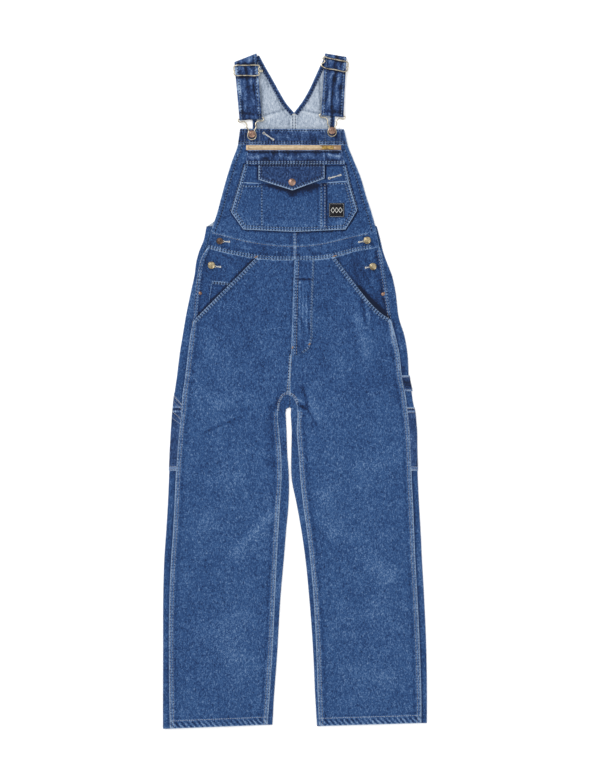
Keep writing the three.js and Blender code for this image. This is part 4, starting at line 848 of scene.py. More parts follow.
def mouthX(mouth, y):
    return np.interp(y, mouth[:, 1], mouth[:, 0])


# How far the facing of a hand pocket lies below the front, fading to nothing outside the mouth.
def facingDrop(x, y, side):
    away = nearest(x, y, mouths[side])[0]
    outside = side * (x - mouthX(mouths[side], y)) > 0
    return 1.5 * np.where(outside, 1 - step(4, 34, away), 1)


def gape(x, y):
    away = nearest(x, y, gapeLine)[0]
    return 1.3 * np.exp(-(away / 13) ** 2)


levels["front_leg_left"] = bodyTop
levels["front_leg_right"] = lambda x, y: bodyTop(x, y) + gape(x, y)
levels["pocket_facing_left"] = lambda x, y: bodyTop(x, y) - facingDrop(x, y, -1)
levels["pocket_facing_right"] = lambda x, y: bodyTop(x, y) - facingDrop(x, y, 1)
levels["coin_pocket"] = lambda x, y: bodyTop(x, y) - facingDrop(x, y, -1) + 1.1
levels["fly"] = raised(1.1)
for half in ("left", "right"):
    levels["waistband_" + half] = bodyTop
    levels["bib_" + half] = bodyTop


# The front leg's plan: side seam, then the slanted mouth, against inseam, crotch curve and centre seam.
def frontPlan(side):
    leg, crotch, hip = tables[side]
    mouth = mouths[side]
    lap = cloth["lap"]
    outside = [(r[3] + side * lap, r[0]) for r in leg]
    inside = [(r[4] - side * lap, r[1]) for r in leg]
    for r in crotch[:4]:
        outside.append((r[2] + side * lap, r[0]))
        inside.append((r[3] - side * 0.8, r[4] - 0.9))
    inside[-1] = (cloth["crotchX"], crotch[3][4] - 0.9)
    cornerIn = len(inside) - 1
    for r in hip[hip[:, 0] < mouth[0, 1] - 20]:
        outside.append((r[2] + side * lap, r[0]))
        inside.append((r[3] - side * 0.05, r[0] + 12))
    cornerOut = len(outside)
    first = inside[-1][1]
    top = float(through(waistSeam[:, 0], waistSeam[:, 1], np.array([0.0]))[0])
    for i, m in enumerate(mouth):
        y = first + (top - first) * (i + 1) / len(mouth)
        outside.append((m[0], m[1]))
        inside.append((columnAt(hip, 3, y) - side * 0.05, y))
    outside, inside = np.array(outside), np.array(inside)
    left, right = (outside, inside) if side < 0 else (inside, outside)
    corners = ([cornerOut], [cornerIn]) if side < 0 else ([cornerIn], [cornerOut])
    waist = curveBetween(waistSeam, left[-1, 0], right[-1, 0])
    left[-1], right[-1] = waist[0], waist[-1]
    return patch(left, right, None, waist, cell=3.1, corners=corners)


outseams, inseams = {}, {}
for side in (-1, 1):
    leg, crotch, hip = tables[side]
    name = "front_leg_" + sideName[side]
    facing = "pocket_facing_" + sideName[side]
    low = [(r[3], r[0]) for r in leg] + [(r[2], r[0]) for r in crotch] + [(r[2], r[0]) for r in hip[:3]]
    outseams[side] = smoothPath(low + [(mouths[side][0, 0] + side * 3, 160)], 5)
    inseams[side] = smoothPath([(r[4], r[1]) for r in leg] + [(crotch[0][3], crotch[0][4])], 5)
    seam(shifted(outseams[side], side * 4.6), (-3, 3), [name], "tan", band=6.2, light=2.1, ladder=0.45,
         pitch=5)
    seam(shifted(inseams[side], -side * 4.6), (-3, 3), [name], "tan", band=6.2, light=2.4, ladder=0.45,
         pitch=5)
    high = [(columnAt(hip, 2, y) - side * 4.5, y) for y in (166, 200, 232, 267, 297, 326)]
    seam(high, (-2.6, 2.6), [facing], ("blue", "tan"), light=3, ladder=0.5)
    # The mouth's turned edge, with two rows.
    seam(shifted(mouths[side], side * 4.4), (-2.2, 2.2), [name], "blue", light=1.6)
    hemY = leg[0][0] + 18, leg[0][1] + 18
    hemLine = [(leg[0][3] - side * 1, hemY[0]), ((leg[0][3] + leg[0][4]) / 2, sum(hemY) / 2),
               (leg[0][4] + side * 1, hemY[1])]
    seam(hemLine, (0,), [name], "pale", band=3.0, light=2.4, ladder=0.25, pitch=5)
    hemEdge = [(p[0], p[1] - 11) for p in hemLine]
    seam(hemEdge, (), [name], band=8.5, strength=0.7, light=0.5, rope=0.55)

crotchArc = [(-38.6, -46), (-35, -21.5), (-25.1, -7.6), (-11, -6), (-1.4, -11), (6.6, -28.5)]
seam(crotchArc, (-1.6, 1.6), ["front_leg_left", "front_leg_right"], "pale", band=3.4, light=1.4, ladder=0.6,
     pitch=5)
seam([(-15.4, -4), (-11.4, 40), (-9.4, 84)], (-2.2, 2.2), ["front_leg_left"], "tan", band=4.6, light=2)

for side in (-1, 1):
    name = sideName[side]
    clothPiece("front_leg_" + name, frontPlan(side), "denim", denim,
               edgeWear=0.42)

for side in (-1, 1):
    key = "pocket_facing_" + sideName[side]
    leg, crotch, hip = tables[side]
    mouth = mouths[side]
    heights = np.array([166, 195, 225, 255, 285, 306])
    edge = np.column_stack([columnAt(hip, 2, heights) + side * cloth["lap"], heights])
    seamX = waistSeam[0, 0] - 0.6 if side < 0 else waistSeam[-1, 0] + 0.6
    seamY = float(through(waistSeam[:, 0], waistSeam[:, 1], np.array([seamX]))[0])
    edge = np.vstack([edge, [(seamX, seamY)]])
    place = np.linspace(0, len(mouth) - 1, len(edge))
    under = np.column_stack([np.interp(place, np.arange(len(mouth)), mouth[:, k]) for k in (0, 1)])
    under = under + np.array([-side * 11.2, -11.2])
    under[-1, 1] = float(through(waistSeam[:, 0], waistSeam[:, 1], under[-1:, 0])[0])
    left, right = (edge, under) if side < 0 else (under, edge)
    top = curveBetween(waistSeam, left[-1, 0], right[-1, 0])
    left[-1], right[-1] = top[0], top[-1]
    clothPiece(key, patch(left, right, None, top, cell=2.8), "denim_shaded", denim,
               base=0.42 if side > 0 else 0.45, edgeWear=0.5)

seam([(-191, 249.6), (-148.6, 245.6)], (-1.4, 1.4), ["coin_pocket"], "blue", band=4, light=2)
seam([(-190.6, 252), (-198.6, 200)], (), ["coin_pocket"], band=2.4, light=3)
seam([(-190, 253.4), (-146, 249.4)], (), ["coin_pocket"], band=2, light=3)
clothPiece("coin_pocket", patch([(-199, 197.6), (-190, 254)], [(-196.6, 199.4), (-146, 250)], cell=2.4),
           "denim_shaded", denim, thick=0.8, base=0.46)

flySeam = [(17, 88.6), (30, 98), (37.7, 119), (38.4, 160), (39.6, 209.5), (43, 299.2)]
seam(flySeam, (-1.4, 1.4), ["fly"], "blue", band=3.6, ladder=0.5)
seam([(-1.6, 84), (-1, 106), (-0.2, 170), (1.2, 232), (4, 300)], (-1, -5.4), ["fly"], ("blue", "tan"),
     band=5, light=1.9,
     ladder=0.6)
flyLeft = np.array([(-4.6, 82), (-4.2, 106), (-3.4, 170), (-2, 232), (0.8, 301.4)])
flyRight = np.array([(12, 83.6), (30, 96), (37.6, 120), (40, 209), (43.5, 302)])
clothPiece("fly", patch(flyLeft, flyRight, cell=2.4, corners=([], [2])), "denim", denim,
           thick=0.8)


# One section of a back panel at a table row: down from the side seam, round the outer fold, along the
# underside and, below the crotch, round the inner fold and up to the inseam. Every point has its way
# inwards.
backCounts = {"strip": 7, "arc": 12, "under": 36}


def foldArc(centre, look, turns):
    r = cloth["fold"] / 2
    out = np.stack([look[0] * np.sin(turns), look[1] * np.sin(turns), -np.cos(turns)], -1)
    points = np.array([centre[0], centre[1], r]) + out * r
    return points, -out


def backSection(y, outer, seamX, endX, endY, foldX, foldY, faces, ending, side):
    r = cloth["fold"] / 2
    down, up = np.array([0.0, 0, -1]), np.array([0.0, 0, 1])
    n = backCounts
    centre = np.array([outer - side * r, y])
    share = np.arange(n["strip"])[:, None] / n["strip"]
    strip = np.array([seamX, y]) * (1 - share) + centre * share
    strip = np.column_stack([strip, np.full(n["strip"], cloth["fold"])])
    turns = np.linspace(0, np.pi, n["arc"])
    arc, arcIn = foldArc(centre, (side, 0), np.pi - turns)
    if ending == 2:
        away = np.linspace(22, 0, n["arc"] + n["strip"])
        tail = np.column_stack([endX + side * away, np.full(len(away), endY), 0 * away])
        tailIn = np.tile(up, (len(tail), 1))
    else:
        look = (math.cos(math.radians(faces)), math.sin(math.radians(faces)))
        foldCentre = np.array([foldX - look[0] * r, foldY - look[1] * r])
        if ending == 1:
            away = np.linspace(18, 1, n["strip"])
            run = np.column_stack([foldCentre[0] + side * away, foldCentre[1] + 0.3 * away, 0 * away])
            nose, noseIn = foldArc(foldCentre, look, turns / 2)
            tail, tailIn = np.vstack([run, nose]), np.vstack([np.tile(up, (len(run), 1)), noseIn])
        else:
            nose, noseIn = foldArc(foldCentre, look, turns)
            share = (np.arange(n["strip"])[:, None] + 1) / n["strip"]
            rise = foldCentre * (1 - share) + np.array([endX, endY]) * share
            rise = np.column_stack([rise, np.full(len(rise), cloth["fold"])])
            tail, tailIn = np.vstack([nose, rise]), np.vstack([noseIn, np.tile(down, (len(rise), 1))])
    share = (np.arange(n["under"])[:, None] + 1) / (n["under"] + 1)
    below = arc[-1] * (1 - share) + tail[0] * share
    points = np.vstack([strip, arc, below, tail])
    inwards = np.vstack([np.tile(down, (len(strip), 1)), arcIn, np.tile(up, (len(below), 1)), tailIn])
    return points, inwards


for side in (-1, 1):
    leg, crotch, hip = tables[side]
    inward = 0 if side < 0 else 180
    rows = [(r[0], r[2], r[3], r[4], r[1], r[5], r[1], inward, 0) for r in leg]
    rows += [(r[0], r[1], r[2], r[3], r[4], r[5], r[6], r[7], int(r[8])) for r in crotch]
    rows += [(r[0], r[1], r[2], r[3], r[0], 0, 0, 0, 2) for r in hip]
    made = [backSection(*row, side) for row in rows]
    stations = np.array([r[0] for r in rows])
    dense = np.concatenate([np.arange(stations[0], -52, 5.0), np.arange(-50, 18, 2.0),
                            np.arange(18, stations[-1], 5.0), stations[-1:]])
    linear = list(range(10, 18))
    points = through(stations, np.array([m[0] for m in made]), dense, linear)
    inwards = through(stations, np.array([m[1] for m in made]), dense, linear)
    inwards /= np.linalg.norm(inwards, axis=2)[..., None] + 1e-9
    n = backCounts
    share = np.arange(n["strip"])[None, :] / n["strip"]
    strip = points[:, :n["strip"]]
    sunk = 1.0 * (1 - step(0, 0.5, share))
    strip[..., 2] = (1 - share) * bodyTop(strip[..., 0], strip[..., 1]) + share * cloth["fold"] - sunk
    phase = strip[..., 1] / 9 + 5 * noise(strip[..., 0], strip[..., 1], 40, 3)
    strip[..., 2] += 0.3 * np.sin(phase) * np.sin(np.pi * share)
    topRows = dense <= -3
    tail = points[topRows, -n["strip"]:]
    tailShare = (np.arange(n["strip"])[None, :] + 1) / n["strip"]
    rise = 0.5 * tailShare * (bodyTop(tail[..., 0], tail[..., 1]) - cloth["fold"])
    tail[..., 2] = cloth["fold"] + rise - 0.9 * step(0.5, 1, tailShare)
    points[topRows, -n["strip"]:] = tail
    x, y = points[..., 0], points[..., 1]
    wearAndShade = 0.49 + 0.14 * (noise(x, y, 40, 13) - 0.5) + 0.1 * (noise(x, y, 14, 14) - 0.5)
    column = np.arange(points.shape[1])[None, :] * np.ones(len(dense))[:, None]
    fromEnd = points.shape[1] - column
    onFold = np.exp(-((column - n["strip"] - 3) / 2.5) ** 2)
    onFold = onFold + np.exp(-((fromEnd - n["strip"] - 3) / 2.5) ** 2)
    beneath = (column > n["strip"] + n["arc"]) * (fromEnd > n["strip"] + n["arc"])
    wearAndShade = wearAndShade + 0.07 * onFold + 0.12 * beneath
    hem = np.exp(-((y - (leg[0][0] + 2)) / 2.5) ** 2)
    name = "back_leg_" + sideName[side]
    # The hem lighter as worn cloth; painted shadows on the strip beside the side seam, the inseam and near
    # the crotch.
    wearAndShade = wearAndShade + 0.25 * hem + shadowsAndGathers(name, x, y) * (column < n["strip"] + 6)
    piece = wall(name + "_cloth", points, points + cloth["thick"] * inwards, denim, {"wearAndShade": wearAndShade})
    finishSheet(piece, name, "denim")

print("waist and bib")

waistRow = curveBetween(waistSeam, -200, 194)
waistbands = ["waistband_left", "waistband_right"]
below = ["front_leg_left", "front_leg_right", "pocket_facing_left", "pocket_facing_right"]
seam((waistRow + (0, 4.2))[::4], (-2.4, 2.4), waistbands, "blue", band=4.6, light=2)
seam((waistRow - (0, 3.5))[::4], (), below, band=3.0, strength=0.7, light=1.2)
topRow = curveBetween(waistTop, -190, 186)
seam((topRow - (0, 2.6))[::4], (0,), waistbands, "tan", band=2.6, light=1.4, ladder=0.3, pitch=5)
seam([(0.9, 304), (0.9, 366)], (-2.4, 2.4), ["bib_right", "bib_left", "waistband_left", "waistband_right"],
     "tan",
     band=5, light=2.2, ladder=0.35)
for name, edge, inward in (("bib_left", bibLeftEdge, 1), ("bib_right", bibRightEdge, -1)):
    seam(edge + (11.5 * inward, 3), (0,), [name], "dark", band=3.0)
    seam(edge + (3 * inward, 0), (), [name], band=4.5, light=1.6)

ends = {-1: (-200.6, 0.03, -192.8, 0.03, bibLeftEdge), 1: (-0.03, 194.6, -0.03, 188.4, bibRightEdge)}
for side in (-1, 1):
    name = sideName[side]
    lowFrom, lowTo, highFrom, highTo, edge = ends[side]
    low = curveBetween(waistSeam, lowFrom, lowTo)
    high = curveBetween(waistTop, highFrom, highTo)
    clothPiece("waistband_" + name, patch([low[0], high[0]], [low[-1], high[-1]], low, high, cell=2.6),
               "denim", denim)
    middleX = highTo if side < 0 else highFrom
    middle = np.column_stack([np.full(len(edge), middleX), np.linspace(334.4, 602.2, len(edge))])
    left, right = (edge.copy(), middle) if side < 0 else (middle, edge.copy())
    left[0], right[0] = high[0], high[-1]
    clothPiece("bib_" + name, patch(left, right, high, None, cell=2.8), "denim", denim)

for side in (-1, 1):
    name = sideName[side]
    armhole, neck = (leftArmhole, leftNeck) if side < 0 else (rightArmhole, rightNeck)
    levels["back_bib_" + name] = lambda x, y: 1.2 + 0.5 * (noise(x, y, 34, 6) - 0.4) * step(0, 12, y - 379)
    inside = np.array([(0, 379.2), (side * 0.05 - 0.8, 470), (side * 0.05 - 1.2, 560),
                       (-1.2 + side * 0.05, 640)])
    inside = np.vstack([inside, neck[1:]])
    seam([(-0.8 + side * 3.2, 470), (-1.4 + side * 3.2, 632)], (0,), ["back_bib_" + name], "dark", band=3.6)
    seam(shifted(armhole[1:], -side * 4.5)[::-1], (), ["back_bib_" + name], band=6, strength=0.8, light=0)
    left, right = (armhole, inside) if side < 0 else (inside, armhole)
    corners = ([], [3]) if side < 0 else ([3], [])
    clothPiece("back_bib_" + name, patch(left, right, cell=3.0, corners=corners), "denim_reverse", reverse)
    for kind, edge, turn in (("neck", neck, -side), ("armhole", armhole[1:], side)):
        key = kind + "_binding_" + name
        levels[key] = lambda x, y: 2.4 + 0.3 * (noise(x, y, 20, 9) - 0.5)
        fine = smoothPath(edge, 6)
        outerLine, innerLine = shifted(fine, 0.2 * turn), shifted(fine, 10 * turn)
        seam(shifted(fine, 8 * turn)[::3], (0,), [key], "dark", band=2.6, light=0.6)
        seam(shifted(fine, 1.6 * turn)[::3], (), [key], band=2.2, light=2.2)
        plan = patch(outerLine, innerLine, cell=2.2) if turn < 0 else patch(innerLine, outerLine, cell=2.2)
        size = lengths(fine)[-1] / 1000
        clothPiece(key, plan, "denim_shaded", denimDeep, thick=0.8,
                   base=0.34)

bandBottom = 565.4
bibAt = lambda edge, y: float(np.interp(y, edge[:, 1], edge[:, 0]))
levels["bib_top_band"] = raised(1.3)
levels["zip_tape"] = raised(0.9)
levels["zip_pocket"] = raised(1.3)
levels["pocket_base"] = raised(1.1)
levels["pocket_front"] = raised(2.4)
levels["pocket_flap"] = lambda x, y: (bodyTop(x, y) + 3.9 + 1.5 * (1 - step(458, 492, y))
                                      + 0.5 * step(30, 68, x) * (1 - step(484, 510, y)))
levels["label"] = raised(3.3)

bandLeft = [(bibAt(bibLeftEdge, bandBottom), bandBottom), (-125.2, 602.8)]
bandRight = [(bibAt(bibRightEdge, bandBottom), bandBottom), (113.8, 601.8)]
seam([(-127, 568.6), (0, 569.2), (119, 568.6)], (-0.2, 4.2), ["bib_top_band"], "dark", band=5.0, light=1.3)
seam([(-124, 598.4), (0, 598.6), (113, 598)], (0,), ["bib_top_band"], "dark", band=4.0, light=1.4)
clothPiece("bib_top_band", patch(bandLeft, bandRight, cell=2.2), "denim", denimDeep,
           thick=1.0, base=0.44, edgeWear=0.24)
clothPiece("zip_tape", patch([(-111.3, 554), (-111.3, 565.2)], [(106.7, 554), (106.7, 565.2)], cell=1.8),
           "zip_tape",
           tapeCloth, thick=0.6)
seam([(-112, 525.4), (114, 525.4)], (-2, 2), ["zip_pocket"], "blue", band=4.6, light=1.3)
seam([(-106, 552), (107, 552)], (-1.2,), ["zip_pocket"], "dark", band=2.6, light=1.5)
clothPiece("zip_pocket", patch([(-113.2, 522), (-107.6, 553.6)], [(115.3, 522), (108.1, 553.6)], cell=2.0),
           "denim",
           denimDeep, thick=1.0, base=0.4, edgeWear=0.3)

pocketLeft = np.array([(-117.8, 371.6), (-145.6, 411), (-127.4, 471), (-113.4, 521.4)])
pocketRight = np.array([(116.8, 371.6), (143.3, 415), (126, 474), (115.5, 521.4)])
baseLow = np.array([(-117.8, 371.6), (0, 366), (116.8, 371.6)])
insideLeft = np.column_stack([pocketLeft[:, 0] + 3.4, pocketLeft[:, 1] + (4, 0, 0, -3)])
insideRight = np.column_stack([pocketRight[:, 0] - 3.4, pocketRight[:, 1] + (4, 0, 0, -3)])
seam(insideLeft[1:], (-0.8, 5.4), ["pocket_base"], "blue", band=4.2, corners=[1], light=1.6)
seam(insideRight[1:], (0.8, -5.4), ["pocket_base"], "blue", band=4.2, corners=[1], light=1.6)
clothPiece("pocket_base", patch(pocketLeft, pocketRight, baseLow, cell=2.6, corners=([1, 2], [1, 2])),
           "denim", denim,
           thick=0.8, base=0.48, edgeWear=0.5)

shareOf = lambda y: (y - pocketLeft[1, 1]) / (pocketLeft[2, 1] - pocketLeft[1, 1])
leftStop = pocketLeft[1] + (pocketLeft[2] - pocketLeft[1]) * shareOf(480)
rightStop = pocketRight[1] + (pocketRight[2] - pocketRight[1]) * shareOf(483)
frontLeft = np.array([pocketLeft[0], pocketLeft[1], (leftStop[0], 480)])
frontRight = np.array([pocketRight[0], pocketRight[1], (rightStop[0] - 1, 483)])
frontTop = np.array([(leftStop[0], 480), (0, 474), (rightStop[0] - 1, 483)])
onFront = ["pocket_front"]
seam([(-117, 374.6), (-142, 411), (-122.8, 478)], (-0.6, -6.4), onFront, "blue", band=4.2, corners=[1],
     light=1.6)
seam([(116, 374.6), (139.8, 415), (121.4, 481)], (0.6, 6.4), onFront, "blue", band=4.2, corners=[1],
     light=1.6)
seam([(-118, 374.4), (0, 369), (117, 374.4)], (0.4, 5.6), onFront, "blue", band=4.6, light=1.6)
seam([(-75.2, 473), (-75.2, 378)], (0,), onFront, "blue", band=3.0)
seam([(61, 476), (61, 378)], (0,), onFront, "blue", band=5, strength=0.8, light=3)
seam([(69.6, 476), (69.6, 376)], (0,), onFront, "pale", band=2.4, strength=0.8, light=4, ladder=0.3)
seam([(-121, 471.2), (-78, 469.6)], (0,), onFront, "blue", band=3.4, light=1.2)
seam([(-122, 478), (-78, 475.8)], (), onFront, band=2.6, light=2.4)
seam([(-74, 474.6), (0, 472.4), (61, 476)], (), onFront, band=2.6, light=2.2)
seam([(72, 475.6), (120, 477)], (0,), onFront, "blue", band=3.4, light=1.2)
seam([(72, 480.6), (120, 482)], (), onFront, band=2.4, light=2.4)
clothPiece("pocket_front", patch(frontLeft, frontRight, baseLow, frontTop, cell=2.4, corners=([1], [1])),
           "denim", denim,
           thick=1.0, base=0.5, edgeWear=0.5)

flapLow = np.array([(-82.6, 485.6), (-4.8, 460.8), (68.6, 488.4)])
flapHigh = np.array([(-82.6, 520.8), (-4.8, 520.8), (68.6, 520.8)])
around = [(-81, 519.4), (-81, 487.2), (-4.8, 463.4), (67, 489.8), (67, 519.4)]
seam(around, (0.6, 5.0), ["pocket_flap"], ("blue", "dark"), band=3.6, corners=[1, 2, 3], light=1.7)
seam([(-80, 516.6), (66, 516.6)], (0, 3), ["pocket_flap"], "dark", band=3.6, light=1.2)
clothPiece("pocket_flap", patch([(-82.6, 485.6), (-82.6, 520.8)], [(68.6, 488.4), (68.6, 520.8)], flapLow,
                                flapHigh, cell=2.0),
           "denim", denimDeep, base=0.42, edgeWear=0.5)

clothPiece("label", patch([(78.6, 399), (78.6, 432)], [(114.6, 399), (114.6, 432)], cell=1.6),
           "label_patch",
           patchCloth, thick=0.6, edgeWear=0.2)

print("tool pockets and loop")


# A band over the back panel beside the side seam: the strip's own surface moved out, wrapped to the fold's
# nose.
def sideBand(key, side, low, highSeam, highFold, out, thick, base, bars, stand=0.0):
    leg, crotch, hip = tables[side]
    every = np.vstack([leg[:, [0, 2, 3]], crotch[:, [0, 1, 2]], hip[:, [0, 1, 2]]])
    v = np.linspace(0, 1, max(8, int((highSeam - low) / 3)))[:, None]
    u = np.linspace(0, 1, 14)[None, :]
    y = low + (highSeam + (highFold - highSeam) * u - low) * v
    r = cloth["fold"] / 2
    seamX = np.interp(y, every[:, 0], every[:, 2]) + side * 0.9
    centreX = np.interp(y, every[:, 0], every[:, 1]) - side * r
    flatShare = np.clip(u / 0.72, 0, 1) * np.ones_like(y)
    turn = np.clip((u - 0.72) / 0.28, 0, 1) * np.pi / 2 * np.ones_like(y)
    x = seamX + (centreX - seamX) * flatShare + side * r * np.sin(turn)
    topZ = (1 - flatShare) * (bodyTop(seamX, y) - 0.7) + flatShare * cloth["fold"]
    z = np.where(turn > 0, r + r * np.cos(turn), topZ)
    normal = np.stack([side * np.sin(turn), 0 * y, np.cos(turn)], -1)
    middle = np.stack([x + side * stand * u ** 3, y, z], -1)
    upper = middle + (out + thick) * normal
    lower = middle + out * normal
    wearAndShade = base + 0.2 * (noise(x, y, 16, 4) - 0.5) + 0.4 * (v > 0.985) + 0.3 * (v < 0.03)
    for height, spread, amount in bars:
        wearAndShade = wearAndShade + amount * np.exp(-((y - height) / spread) ** 2)
    piece = wall(key + "_cloth", upper, lower, denimDeep, {"wearAndShade": wearAndShade})
    finishSheet(piece, key, "denim_shaded")
    return upper


# Lighter and darker bars across the bands: height, spread, how much lighter.
toolBars = [(-176, 1.6, 0.4), (-182, 1.6, 0.4), (-179, 1.4, -0.3), (-92, 2, 0.12)]
hemBars = [(-36.6, 1.8, 0.5), (-46.4, 1.8, 0.45), (-41.5, 2, -0.3), (-51, 2, -0.2)]
loopBars = [(1.6, 1.8, 0.5), (34.4, 1.8, 0.5), (18, 9, -0.2)]
leftTool = sideBand("tool_pocket_left", -1, -183, -30, -4, 0.3, 0.8, 0.45,
                    toolBars + hemBars)
rightTool = sideBand("tool_pocket_right", 1, -183, -37, -37, 0.3, 0.8, 0.45,
                     toolBars + hemBars)
loop = sideBand("hammer_loop", 1, 0, 36, 36, 0.3, 1.2, 0.38, loopBars, stand=1.4)
for grid, rowsAt in ((leftTool, (-2, -5, -12, -16, 1, 3)), (rightTool, (-2, -5, 1, 3)), (loop, (1, -2))):
    for r in rowsAt:
        addStitches(grid[r] + (0, 0, 0.15), "white" if r in (-2, -12) else "pale", 4.0)

print("straps")

strapShapes = {
    -1: {"leftTop": (-138.4, 756), "leftHook": (-126.4, 622.5), "rightTop": (-87.4, 776),
         "rightHook": (-75.2, 626),
         "slider": (-110.4, 736.4, 0), "slope": 0.068, "knob": (-98, 590)},
    1: {"leftTop": (70, 776), "leftHook": (61.2, 634.5), "rightTop": (119, 767.6),
        "rightHook": (112.2, 629.5),
        "slider": (94, 749.6, -11.5), "slope": -0.098, "knob": (86, 597.6)},
}
# Where each station lies: 0 from the shoulder fold, 1 from the hook fold; how far from it; height; relief.
strapPath = np.array([
    (0, 4.4, 0.6, 0), (0, 2.9, 0.6, 0), (0, 1.2, 1.1, 0), (0, 0, 2.9, 0), (0, 1.2, 4.7, 0),
    (0, 5, 5.4, 0.5),
    (0, 11, 5.9, 0.6), (0, 20, 6.6, 0.2), (0, 31, 6.7, 0.2), (0, 43, 6.6, 0.2), (0, 56, 5.3, 0.7),
    (0, 78, 4.9, 1),
    (1, 44, 4.9, 1), (1, 22, 5.7, 1), (1, 9, 7, 0.5), (1, 2.2, 7.3, 0.2), (1, 0.3, 6.4, 0), (1, 0, 5.25, 0),
    (1, 0.3, 4.1, 0), (1, 2.2, 3.2, 0), (1, 22, 3.2, 0), (1, 50, 3.2, 0), (0, 78, 3.2, 0), (0, 48, 3.2, 0)])


# Shadows beside the sliders' wires and light marks on the straps, as in tones.
strapTones = {
    -1: [(-136, 751.4, -86, 751.4, 2.6, -0.5), (-136, 721, -86, 721, 3, -0.5),
         (-112, 742, -110, 730, 3, -0.3),
         (-128, 640, -76, 634, 4, -0.3), (-128, 699, -126, 686, 3.4, 0.5), (-96, 716, -88, 640, 2.6, -0.3),
         (-118, 712, -116, 650, 3.4, 0.14), (-106, 716, -104, 690, 2.6, -0.2),
         (-88, 772, -90, 754, 3, -0.24)],
    1: [(70, 766, 118, 756, 2.6, -0.5), (70, 741, 117, 731, 3, -0.5), (94, 756, 96, 744, 3, -0.3),
        (64, 644, 112, 640, 4, -0.3), (90, 726, 84, 650, 2.6, -0.36), (98, 724, 94, 650, 3, 0.16),
        (82, 728, 78, 668, 3, 0.12), (106, 700, 102, 650, 2.6, -0.16), (74, 774, 74, 752, 3, -0.24)],
}


# A strap: the ribbon's two edges follow the path's stations, cubic between them, and the height across it
# is
# two raised edges and a shallow valley.
def strapPiece(side):
    shape = strapShapes[side]
    edges = []
    for edge in ("left", "right"):
        top, hook = np.array(shape[edge + "Top"], float), np.array(shape[edge + "Hook"], float)
        first = strapPath[:, 0] == 0
        share = strapPath[:, 1] / abs(top[1] - hook[1])
        x = np.where(first, top[0] + (hook[0] - top[0]) * share, hook[0] + (top[0] - hook[0]) * share)
        y = np.where(first, top[1] - strapPath[:, 1], hook[1] + strapPath[:, 1])
        edges.append(np.column_stack([x, y, strapPath[:, 2]]))
    middle = (edges[0] + edges[1]) / 2
    s = lengths(middle)
    at = [np.linspace(0, s[-1], 130), np.linspace(s[1], s[5], 20), np.linspace(s[13], s[20], 36)]
    at = np.unique(np.concatenate(at))
    a, b, raiseAt = through(s, edges[0], at), through(s, edges[1], at), np.interp(at, s, strapPath[:, 3])
    u = np.concatenate([[0, 0.014], np.linspace(0, 1, 23)[1:-1], [0.986, 1]])
    grid = a[:, None] * (1 - u[None, :, None]) + b[:, None] * u[None, :, None]
    profile = 0.45 * np.exp(-((u - 0.1) / 0.07) ** 2) + 0.45 * np.exp(-((u - 0.9) / 0.07) ** 2)
    profile = profile - 0.5 * np.exp(-((u - 0.5 - 0.03 * side) / 0.16) ** 2)
    ripple = 0.35 * (noise(grid[..., 0], grid[..., 1], 18, 2) - 0.5)
    grid[..., 2] += raiseAt[:, None] * (profile[None] + ripple)
    normal = gridNormals(grid)
    if normal[60, 10, 2] < 0:
        normal = -normal
    upper, lower = grid + 0.6 * normal, grid - 0.6 * normal
    upper[:, 0, 2] -= 0.25 * raiseAt
    upper[:, -1, 2] -= 0.25 * raiseAt
    x, y = grid[..., 0], grid[..., 1]
    wave = np.sin(2 * np.pi * at / 9.5)[:, None] * (0.4 + noise(x, y, 20, 4))
    nearEdge = np.exp(-((u - 0.05) / 0.05) ** 2) + np.exp(-((u - 0.95) / 0.05) ** 2)
    wearAndShade = 0.44 + nearEdge[None] * (0.2 + 0.1 * wave)
    # Painted shade down the strap's middle valley and along two lines beside it; then painted shadows
    # beside the wires.
    for middleU, spread, amount in ((0.5 + 0.04 * side, 0.06, 0.2), (0.24, 0.04, 0.12), (0.8, 0.04, 0.12)):
        wearAndShade = wearAndShade - amount * np.exp(-((u - middleU) / spread) ** 2)[None]
    wearAndShade = wearAndShade + 0.6 * (noise(x, y * 0.3, 5, 6) - 0.5) + 0.3 * (noise(x, y, 16, 7) - 0.5) + 0.03
    wearAndShade = wearAndShade + marks(x, y, strapTones[side]) * (grid[..., 2] > 4)
    fromEdge = np.minimum(u, 1 - u) * 51 - 5.5
    field = np.stack([at[:, None] + 0 * x, fromEdge[None] + 0 * x, 0 * x], -1)
    name = "strap_" + sideName[side]
    piece = wall(name + "_cloth", upper, lower, denimDeep, {"wearAndShade": wearAndShade, "seam": field, "sewn": 0 * x + 1})
    finishSheet(piece, name, "denim_shaded")
    shown = (at > s[3]) & (at < s[16])
    for column in (3, 21):
        addStitches(upper[shown, column] + (0, 0, 0.12), "blue", ladderStep)


for side in (-1, 1):
    strapPiece(side)

print("fittings")


wire = {"radius": 1.35, "sides": 14, "closedSteps": 200, "openSteps": 60}


